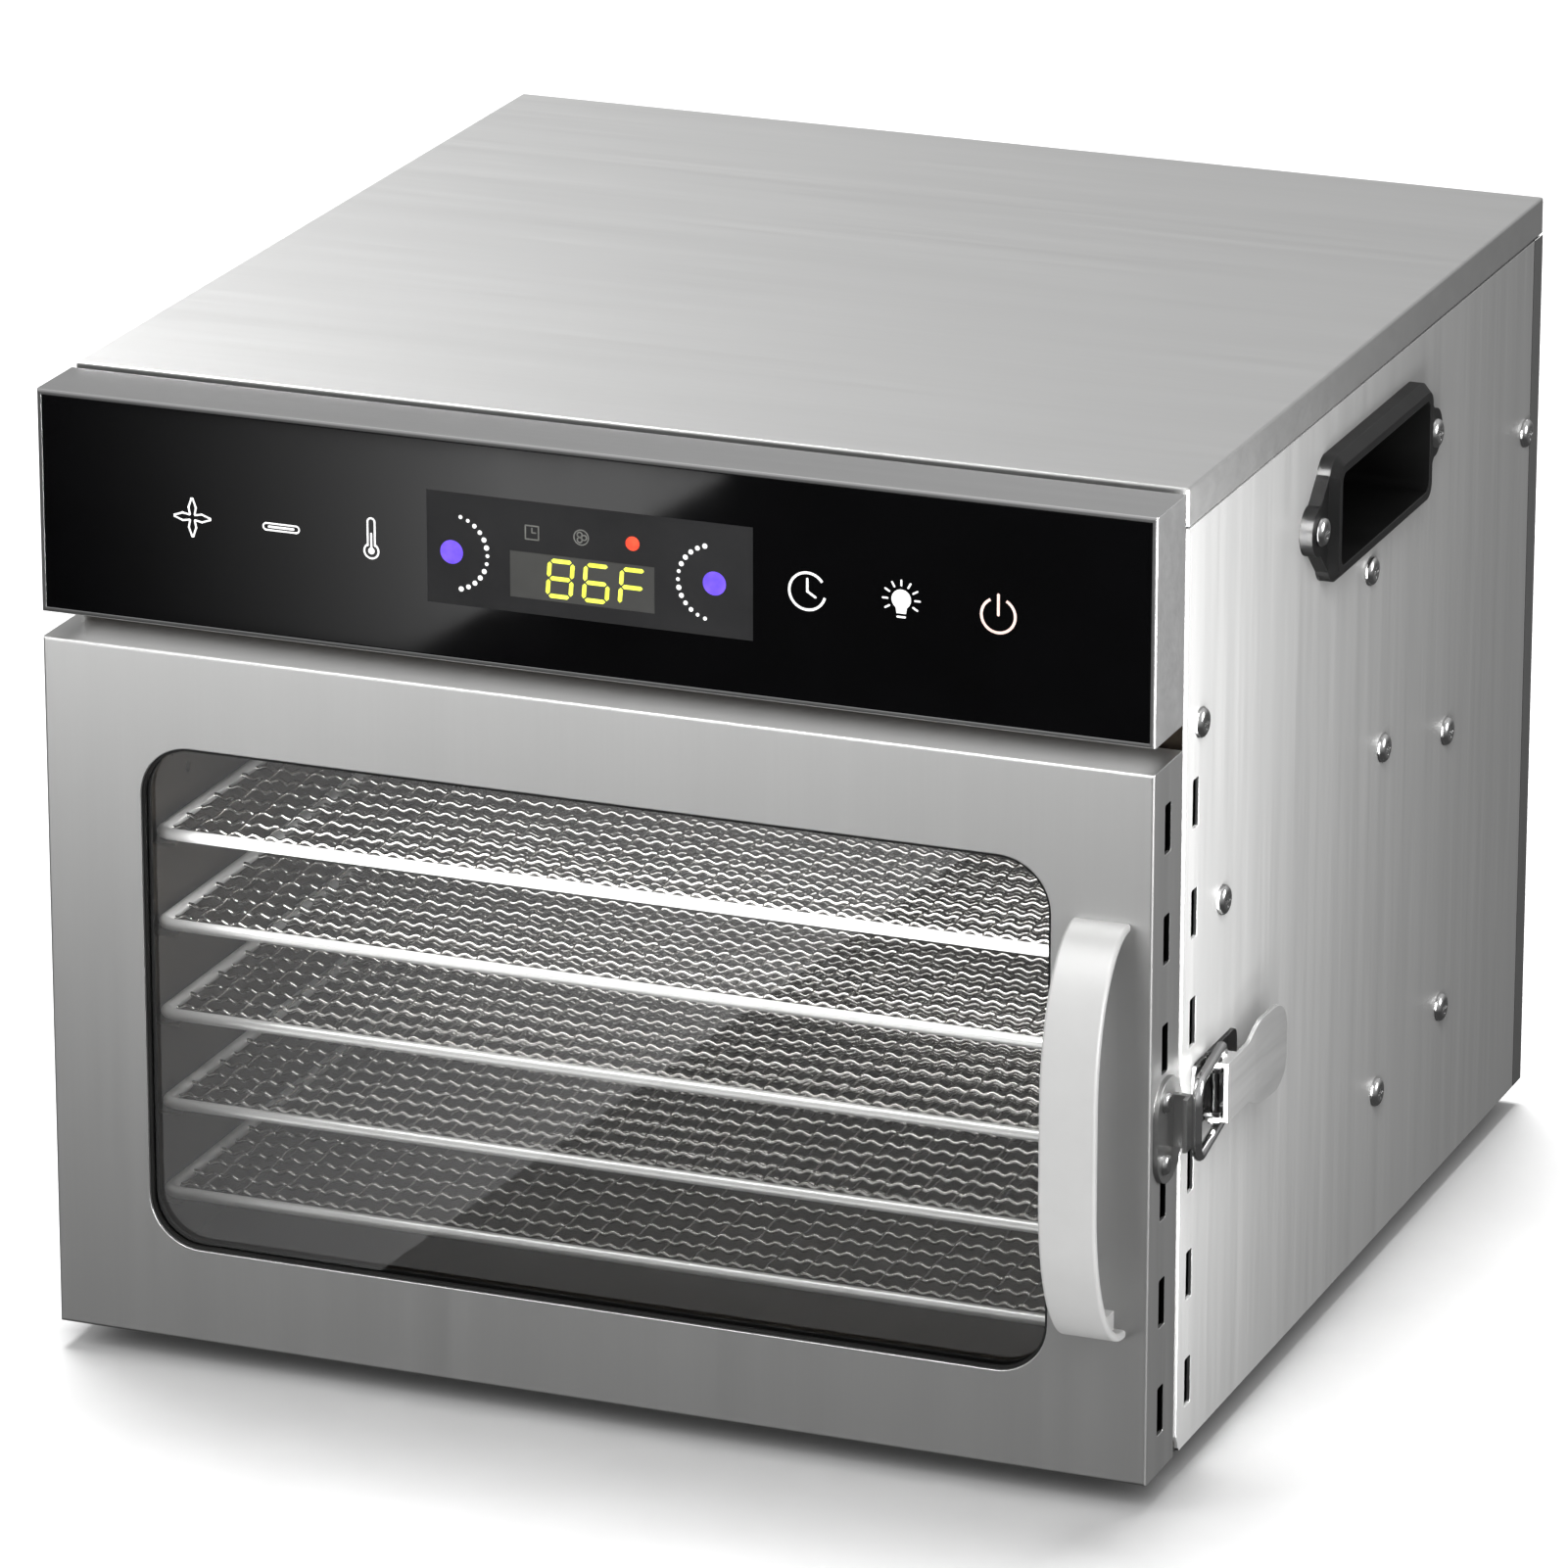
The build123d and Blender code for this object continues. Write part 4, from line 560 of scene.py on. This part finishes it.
def finish_print(name, mesh, material):
    """Turns a drawing into a piece that rides on the cabinet."""
    bmesh.ops.remove_doubles(mesh, verts=mesh.verts, dist=1e-7)
    bmesh.ops.recalc_face_normals(mesh, faces=mesh.faces)
    data = bpy.data.meshes.new(name)
    mesh.to_mesh(data)
    mesh.free()
    data.materials.append(material)
    piece = bpy.data.objects.new(name, data)
    bpy.context.collection.objects.link(piece)
    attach(piece, "root")
    print(name, len(data.polygons), "faces")
    return piece

# %% [markdown]
# Lit prints glow a little, so that they read as white on the black glass. Their colour drifts slightly,
# as back-lit ink does.

# %% Lit inks
def lit_ink(name, dark, light, strength):
    """A printed ink with a light behind it."""
    material, tree, shader = new_finish(name, Roughness=0.35, Emission_Strength=strength)
    colour = tint(tree, noise_on(tree, 260.0, detail=2.0), dark, light)
    tree.links.new(colour, shader.inputs["Base Color"])
    tree.links.new(colour, shader.inputs["Emission Color"])
    return material


white_ink = lit_ink("white_ink", (0.70, 0.70, 0.70), (0.95, 0.95, 0.94), 0.85)
grey_ink = lit_ink("grey_ink", (0.16, 0.16, 0.15), (0.26, 0.26, 0.24), 0.25)
warm_ink = lit_ink("warm_ink", (0.78, 0.55, 0.50), (0.95, 0.74, 0.68), 0.7)
violet_ink = lit_ink("violet_ink", (0.10, 0.05, 0.62), (0.16, 0.08, 0.78), 0.9)
red_ink = lit_ink("red_ink", (0.70, 0.03, 0.01), (0.90, 0.08, 0.03), 0.9)
segment_glow = lit_ink("segment_glow", (0.62, 0.70, 0.04), (0.80, 0.86, 0.10), 1.1)
display_tint = mottled("display_tint", (0.030, 0.030, 0.031), (0.040, 0.040, 0.041), 0.10, 30.0, 0.00001,
                       spread=0.02)
screen_tint = mottled("screen_tint", (0.085, 0.085, 0.082), (0.105, 0.105, 0.10), 0.16, 30.0, 0.00001,
                      spread=0.03)

# %% [markdown]
# Keys from left to right: more, less, temperature, then the clock, the lamp and the power key past the
# display. All share one height.

# %% Touch keys
key_height = bottom + 254 * mm
keys = bmesh.new()
plus = (-121.5 * mm, key_height)
for quarter in range(4):
    turn = quarter * pi / 2
    tip, out, across = 5.6, 3.0, 1.15
    petal = [(0.9, -0.75), (out, -across), (tip, -0.2), (tip, 0.2), (out, across), (0.9, 0.75)]
    for (x0, z0), (x1, z1) in zip(petal, petal[1:]):
        stroke(keys, (x0 * cos(turn) - z0 * sin(turn), x0 * sin(turn) + z0 * cos(turn)),
               (x1 * cos(turn) - z1 * sin(turn), x1 * sin(turn) + z1 * cos(turn)), 0.55, plus)
minus = (-93.7 * mm, key_height)
for z in (-1.0, 1.0):
    stroke(keys, (-4.6, z), (4.6, z), 0.5, minus)
arc(keys, (4.6, 0), 1.0, -90, 90, 0.5, minus, 10)
arc(keys, (-4.6, 0), 1.0, 90, 270, 0.5, minus, 10)
stroke(keys, (-3.8, 0), (3.8, 0), 0.7, minus)
thermometer = (-65.7 * mm, key_height)
for x in (-1.1, 1.1):
    stroke(keys, (x, -2.0), (x, 5.0), 0.55, thermometer)
arc(keys, (0, 5.0), 1.1, 0, 180, 0.55, thermometer, 12)
arc(keys, (0, -3.6), 2.2, 120, 420, 0.55, thermometer, 24)
disc(keys, (0, -3.6), 1.0, thermometer)
stroke(keys, (0, -3.4), (0, 1.5), 0.6, thermometer)
clock = (67.0 * mm, key_height)
arc(keys, (0, 0), 5.4, 35, 345, 0.75, clock, 44)
stroke(keys, (0, 0), (0, 3.6), 0.7, clock)
stroke(keys, (0, 0), (2.4, -1.5), 0.7, clock)
bulb = (95.0 * mm, key_height)
disc(keys, (0, 0.9), 2.9, bulb)
raise_print(keys, [(-1.7, -1.2), (-1.4, -3.2), (1.4, -3.2), (1.7, -1.2)], bulb)
stroke(keys, (-1.1, -4.2), (1.1, -4.2), 0.6, bulb)
for ray in range(9):
    turn = radians(-30 + 30 * ray)
    stroke(keys, (4.1 * cos(turn), 0.9 + 4.1 * sin(turn)), (5.5 * cos(turn), 0.9 + 5.5 * sin(turn)), 0.55,
           bulb)
finish_print("key_symbols", keys, white_ink)
power_key = bmesh.new()
power = (123.7 * mm, key_height)
arc(power_key, (0, -0.4), 5.0, 118, 422, 0.8, power, 40)
stroke(power_key, (0, -0.2), (0, 5.6), 0.8, power)
finish_print("power_symbol", power_key, warm_ink)

# %% [markdown]
# Behind the glass a grey window marks the display. Its seven-segment digits are cut hexagons, as on a
# real display, and show a plain temperature.

# %% Display window and digits
window_plate = bmesh.new()
raise_print(window_plate, [(-48.5, 237.5), (50.7, 237.5), (50.7, 270.7), (-48.5, 270.7)], (0, bottom),
            0.012 * mm)
finish_print("display_window", window_plate, display_tint)
screen_plate = bmesh.new()
raise_print(screen_plate, [(-23.0, 242.0), (21.0, 242.0), (21.0, 255.6), (-23.0, 255.6)], (0, bottom),
            0.024 * mm)
finish_print("display_screen", screen_plate, screen_tint)

segment_ends = {"a": ((0, 2), (1, 2)), "b": ((1, 1), (1, 2)), "c": ((1, 0), (1, 1)), "d": ((0, 0), (1, 0)),
                "e": ((0, 0), (0, 1)), "f": ((0, 1), (0, 2)), "g": ((0, 1), (1, 1))}
figures = {"8": "abcdefg", "6": "acdefg", "F": "aefg"}


def figure(mesh, name, left, low, width, height, thick, lean=0.08):
    """One seven-segment figure, leaning a little to the right."""
    for key in figures[name]:
        (u0, v0), (u1, v1) = segment_ends[key]
        x0, z0, x1, z1 = u0 * width, v0 * height / 2, u1 * width, v1 * height / 2
        gap, half = 0.35, thick / 2
        if z0 == z1:
            outline = [(x0 + gap, z0), (x0 + gap + half, z0 - half), (x1 - gap - half, z0 - half),
                       (x1 - gap, z0), (x1 - gap - half, z0 + half), (x0 + gap + half, z0 + half)]
        else:
            outline = [(x0, z0 + gap), (x0 + half, z0 + gap + half), (x0 + half, z1 - gap - half),
                       (x0, z1 - gap), (x0 - half, z1 - gap - half), (x0 - half, z0 + gap + half)]
        raise_print(mesh, [(left + x + lean * z, low + z) for x, z in outline], (0, bottom))


digits = bmesh.new()
for name, left in (("8", -11.6), ("6", -0.6), ("F", 10.4)):
    figure(digits, name, left, 243.6, 7.0, 10.4, 1.25)
finish_print("display_figures", digits, segment_glow)

lamps = bmesh.new()
disc(lamps, (14.4, 261.8), 2.1, (0, bottom))
finish_print("working_lamp", lamps, red_ink)
small_signs = bmesh.new()
fan_sign, timer_sign = (-1.2 * mm, bottom + 261.8 * mm), (-16.2 * mm, bottom + 261.5 * mm)
arc(small_signs, (0, 0), 2.2, 0, 360, 0.35, fan_sign, 24)
for blade in range(3):
    turn = blade * 2 * pi / 3
    arc(small_signs, (0.9 * cos(turn), 0.9 * sin(turn)), 0.75, 0, 360, 0.4, fan_sign, 10)
timer_corners = [(-2, -2), (2, -2), (2, 2), (-2, 2)]
for a, b in zip(timer_corners, timer_corners[1:] + timer_corners[:1]):
    stroke(small_signs, a, b, 0.4, timer_sign)
for hand_tip in ((0, 1.3), (1.1, 0)):
    stroke(small_signs, (0, 0), hand_tip, 0.4, timer_sign)
finish_print("small_signs", small_signs, grey_ink)
dial_dots = bmesh.new()
for x in (-40.9, 39.1):
    disc(dial_dots, (x, 253.0), 3.5, (0, bottom))
finish_print("dial_dots", dial_dots, violet_ink)

# %% [markdown]
# Round each dial dot runs half a ring of small marks. They repeat along an arc, so Geometry Nodes set
# one small disc on each point of it, each a little larger or smaller by a seeded random value.

# %% Dotted dial rings
dial_tree, dial_in, dial_out = grower("dotted_ring", {"Radius": 0.011, "First Angle": -1.3, "Sweep": 2.6,
                                                      "Marks": 11, "Mark Radius": 0.0005, "Middle X": 0.0,
                                                      "Middle Z": 0.0, "Face Y": 0.0, "Seed": 3})
dial_arc = add(dial_tree, "GeometryNodeCurveArc", {"Radius": dial_in.outputs["Radius"],
                                                   "Start Angle": dial_in.outputs["First Angle"],
                                                   "Sweep Angle": dial_in.outputs["Sweep"],
                                                   "Resolution": dial_in.outputs["Marks"]})
dial_points = add(dial_tree, "GeometryNodeCurveToPoints", {"Curve": dial_arc.outputs[0],
                                                           "Count": dial_in.outputs["Marks"]})
mark = add(dial_tree, "GeometryNodeMeshCylinder", {"Vertices": 12, "Radius": dial_in.outputs["Mark Radius"],
                                                   "Depth": print_depth})
size = add(dial_tree, "FunctionNodeRandomValue", {2: 0.8, 3: 1.3, "Seed": dial_in.outputs["Seed"]})
dial_marks = add(dial_tree, "GeometryNodeInstanceOnPoints", {"Points": dial_points.outputs[0],
                                                             "Instance": mark.outputs[0],
                                                             "Scale": size.outputs[1]})
dial_stand = add(dial_tree, "GeometryNodeTransform",
                 {"Geometry": dial_marks.outputs[0], "Rotation": (pi / 2, 0, 0),
                  "Translation": vector(dial_tree, dial_in.outputs["Middle X"], dial_in.outputs["Face Y"],
                                        dial_in.outputs["Middle Z"])})
close_tree(dial_tree, dial_in, dial_out, dial_stand.outputs[0])
for name, x, first in (("left_dial_ring", -40.9, -75.0), ("right_dial_ring", 39.1, 105.0)):
    ring = grow(name, dial_tree, {"Radius": 11 * mm, "First Angle": radians(first), "Sweep": radians(150.0),
                                  "Marks": 13, "Mark Radius": 0.62 * mm, "Middle X": x * mm,
                                  "Middle Z": bottom + 253 * mm, "Face Y": glass_face - print_depth / 2,
                                  "Seed": 3}, white_ink)
    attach(ring, "root")

# %% [markdown]
# The studio: a pale floor, a soft sky, and softboxes. Brushed steel shows whatever stands round it, so
# most of its shading comes from where the softboxes are. A softbox may be kept to some pieces, as a
# photographer does with black flags.

# %% Floor and sky
floor_mesh = bpy.data.meshes.new("studio_floor")
floor_mesh.from_pydata([(-7, -7, 0), (7, -7, 0), (7, 7, 0), (-7, 7, 0)], [], [(0, 1, 2, 3)])
floor = bpy.data.objects.new("studio_floor", floor_mesh)
bpy.context.collection.objects.link(floor)
floor_mesh.materials.append(mottled("studio_paper", (0.80, 0.80, 0.80), (0.82, 0.82, 0.82), 0.7, 60.0,
                                    0.00002))
floor.visible_glossy = False

world = bpy.data.worlds.new("studio_sky")
bpy.context.scene.world = world
world.use_nodes = True
sky = world.node_tree
sky_place = add(sky, "ShaderNodeTexCoord")
sky_parts = add(sky, "ShaderNodeSeparateXYZ", {0: sky_place.outputs["Generated"]})
sky_tone = tint(sky, between(sky, sky_parts.outputs["Z"], 0.0, 1.0, -1.0, 1.0), (0.12, 0.12, 0.12),
                (1.0, 1.0, 1.0), 0.30, 0.75)
sky.links.new(sky_tone, sky.nodes["Background"].inputs["Color"])
sky.nodes["Background"].inputs["Strength"].default_value = 0.48

# %% Softboxes
def softbox(name, place, aim, size, brightness, lights=None):
    """A rectangular softbox of a given brightness. lights names the only parts that it reaches.

    Such a kept-in light is not passed on by those parts to their neighbours.
    """
    lamp = bpy.data.lights.new(name, "AREA")
    lamp.shape = "RECTANGLE"
    lamp.size, lamp.size_y = size
    lamp.energy = brightness * pi * size[0] * size[1]
    holder = bpy.data.objects.new(name, lamp)
    holder.location = place
    holder.rotation_euler = (Vector(aim) - Vector(place)).to_track_quat("-Z", "Y").to_euler()
    bpy.context.collection.objects.link(holder)
    if lights:
        lamp.cycles.max_bounces = 4 if floor in lights else 0
        reached = bpy.data.collections.new(name + "_reaches")
        for piece in lights:
            reached.objects.link(piece)
        holder.light_linking.receiver_collection = reached
    return holder


# %% [markdown]
# These lists say which pieces a kept-in light reaches.

# %% What the lights reach
chamber = [nodes[n] for n in worn_by["chamber_steel"] + ["window_gasket"]]
trays = [bpy.data.objects[f"tray_{n}_wirework"] for n in range(1, 6)]
lid_set = [nodes["lid"]]
door_set = [nodes["door_shell"]]
header_set = [nodes["header_frame"]]
side_set = [nodes["side_panel_right"], nodes["latch_lever"]]
flank_set = side_set + lid_set
fitting_set = [nodes[n] for n in ("catch_plate", "catch_rivets", "latch_bail", "latch_rivets",
                                  "side_screws_right", "carry_handle_screws")]
handle_set = [nodes["door_handle"]]
left_set = [nodes["side_panel_left"]]
rear_set = [nodes["rear_panel"]]
print(len(chamber), "chamber pieces,", len(fitting_set), "fittings")

# %% [markdown]
# Each row is a softbox: its name, where it hangs, where it points, its size, its brightness and what it
# reaches. The first two light everything, two more only the floor, and the rest one face each.

# %% Hanging the softboxes
door_spot = (0, front, bottom + 0.15)
boxes = [
    ("overhead", (-0.3, 0.3, 2.2), (0, 0, 0.2), (1.6, 1.6), 0.4, None),
    ("front_fill", (0.3, -2.2, 1.2), (0, 0, 0.15), (1.6, 1.2), 0.2, None),
    ("floor_front", (0.6, -2.2, 2.2), (0, -0.3, 0), (2.5, 2.0), 1.2, [floor]),
    ("floor_left", (-2.5, -1.5, 2.0), (-0.4, -0.6, 0), (2.0, 2.0), 1.7, [floor]),
    ("lid_left", (-0.80, 0.1, 0.9), (-0.05, 0, top), (0.7, 0.7), 19.0, lid_set),
    ("door_high", (-0.1, -0.9, 1.3), (0, front, 0.25), (1.0, 0.5), 11.6, door_set),
    ("door_left", (-0.8, -1.0, 0.35), door_spot, (0.6, 0.7), 0.6, door_set),
    ("door_low", (-0.4, -1.2, 0.12), door_spot, (1.0, 0.2), 4.5, door_set),
    ("door_side", (0.9, -0.3, 0.4), (side, front, 0.15), (0.5, 0.5), 26.0, door_set),
    ("header_side", (0.9, -0.3, 0.4), (side, front, 0.25), (0.5, 0.5), 56.0, header_set),
    ("side_near_high", (0.30, -0.26, 0.42), (side, front, 0.27), (0.16, 0.16), 99.0, side_set),
    ("side_near_mid", (0.30, -0.26, 0.20), (side, front, 0.17), (0.16, 0.16), 63.0, flank_set),
    ("side_near_low", (0.28, -0.24, 0.05), (side, front, 0.05), (0.12, 0.06), 61.0, flank_set),
    ("side_band", (0.21, -0.20, 0.16), (side, front + 0.02, 0.16), (0.04, 0.30), 10.8, flank_set),
    ("handle_top", (0.1, -0.5, 0.8), (0.15, door_spot[1], 0.12), (0.4, 0.4), 5.0, handle_set),
    ("handle_right", (0.8, -0.6, 0.3), (0.15, door_spot[1], 0.12), (0.4, 0.4), 8.0, handle_set),
    ("fitting_right", (0.9, 0.1, 0.5), (side, front + 0.03, 0.12), (0.5, 0.5), 5.0, fitting_set),
    ("left_wash", (-0.9, -0.5, 0.6), (-side, 0, 0.15), (0.6, 0.6), 9.0, left_set),
    ("rear_wash", (0.2, 1.2, 0.8), (0, back, 0.15), (1.0, 0.5), 5.0, rear_set),
]
for name, place, aim, size, brightness, lights in boxes:
    softbox(name, place, aim, size, brightness, lights)
print(len(boxes), "softboxes")

# %% [markdown]
# A high sun that only the floor sees gives the cabinet its contact shadow.

# %% Floor sun
sun = bpy.data.lights.new("floor_sun", "SUN")
sun.angle = radians(25)
sun.energy = 3.7
sun_holder = bpy.data.objects.new("floor_sun", sun)
sun_holder.rotation_euler = (radians(-13), radians(-6), 0)
bpy.context.collection.objects.link(sun_holder)
sun_reach = bpy.data.collections.new("sun_reaches")
sun_reach.objects.link(floor)
sun_holder.light_linking.receiver_collection = sun_reach
print("sun over the floor")

# %% [markdown]
# Three hidden strips light what the studio can't reach: the door's top in the gap under the header, and
# the chamber and the trays from just behind the window.

# %% Hidden strips
door_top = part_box("door_shell")[1][2]
gap_middle = front - 14 * mm
gap_wash = softbox("gap_wash", (0, gap_middle, door_top + 6 * mm), (0, gap_middle, door_top), (0.33, 0.02),
                   0.7, door_set)
gap_wash.visible_camera = False
window_strips = [("chamber_wash", 0.3, 0.12, chamber), ("tray_wash", 10.0, 0.03, trays)]
for name, brightness, height, lights in window_strips:
    inside = softbox(name, (0, front - 3 * mm, bottom + 0.15), (0, back, bottom + 0.05), (0.27, height),
                     brightness, lights)
    inside.data.cycles.max_bounces = 4
    inside.visible_camera = False
    inside.visible_transmission = False

# %% [markdown]
# Two reflector cards stand in front and show as slanting pale bands in the glass. A band's outline is
# drawn on the glass, and each corner is sent on to where the card must stand: along the line from the
# camera's mirror image through that corner. Each card glows more towards its slanting edge.

# %% Reflector cards
def reflector(name, glass_y, outline, card_y, brightness, fade_from, fade_to, fade_power, receivers):
    """A card seen in upright glass at glass_y as this outline of (x, z) points, in the glass's plane."""
    mirrored = Vector((camera.location.x, 2 * glass_y - camera.location.y, camera.location.z))
    reach = (card_y - mirrored.y) / (glass_y - mirrored.y)
    corners = [mirrored + (Vector((x, glass_y, z)) - mirrored) * reach for x, z in outline]
    mesh = bpy.data.meshes.new(name)
    mesh.from_pydata(corners, [], [tuple(range(len(corners)))])
    card = bpy.data.objects.new(name, mesh)
    bpy.context.collection.objects.link(card)
    material = bpy.data.materials.new(name)
    material.use_nodes = True
    tree = material.node_tree
    tree.nodes.clear()
    spot = add(tree, "ShaderNodeTexCoord")
    x_part = add(tree, "ShaderNodeSeparateXYZ", {0: spot.outputs["Object"]}).outputs["X"]
    z_part = add(tree, "ShaderNodeSeparateXYZ", {0: spot.outputs["Object"]}).outputs["Z"]
    ends = [mirrored + (Vector((x, glass_y, z)) - mirrored) * reach for x, z in (fade_from, fade_to)]
    run = ends[1] - ends[0]
    along = add(tree, "ShaderNodeMath", {0: sums(tree, "MULTIPLY", sums(tree, "SUBTRACT", x_part, ends[0].x),
                                                 run.x),
                                         1: sums(tree, "MULTIPLY", sums(tree, "SUBTRACT", z_part, ends[0].z),
                                                 run.z)}, operation="ADD").outputs[0]
    risen = sums(tree, "POWER", between(tree, along, 0.0, 1.0, 0.0, run.x ** 2 + run.z ** 2), fade_power)
    glow = sums(tree, "MULTIPLY", risen, brightness)
    light = add(tree, "ShaderNodeEmission", {"Strength": glow})
    add(tree, "ShaderNodeOutputMaterial", {"Surface": light.outputs[0]})
    mesh.materials.append(material)
    card.visible_camera = card.visible_diffuse = card.visible_shadow = False
    card.visible_transmission = False
    reached = bpy.data.collections.new(name + "_reaches")
    for piece in receivers:
        reached.objects.link(piece)
    card.light_linking.receiver_collection = reached
    return card


card_place = front - 0.9
header_left, header_foot, header_head = -0.169, -0.0547, 0.0439
header_band = [(header_left, glass_low[2]), (header_foot, glass_low[2]), (header_head, glass_high[2]),
               (header_left, glass_high[2])]
reflector("header_card", glass_face, header_band, card_place, 5.6, (-0.19, glass_low[2]),
          (-0.02, glass_high[2] - 0.02), 2.6, [nodes["control_glass"]])
window_bottom, window_top = window_low[2], window_high[2]
window_left, window_foot, window_head = -0.14, -0.076, 0.118
window_band = [(window_left, window_bottom), (window_foot, window_bottom), (window_head, window_top - 0.005),
               (window_head, window_top), (window_left, window_top)]
reflector("window_card", window_low[1], window_band, card_place, 2.0, (-0.20, window_top - 0.03),
          (0.03, window_bottom + 0.07), 1.0, [nodes["window_glass"]])
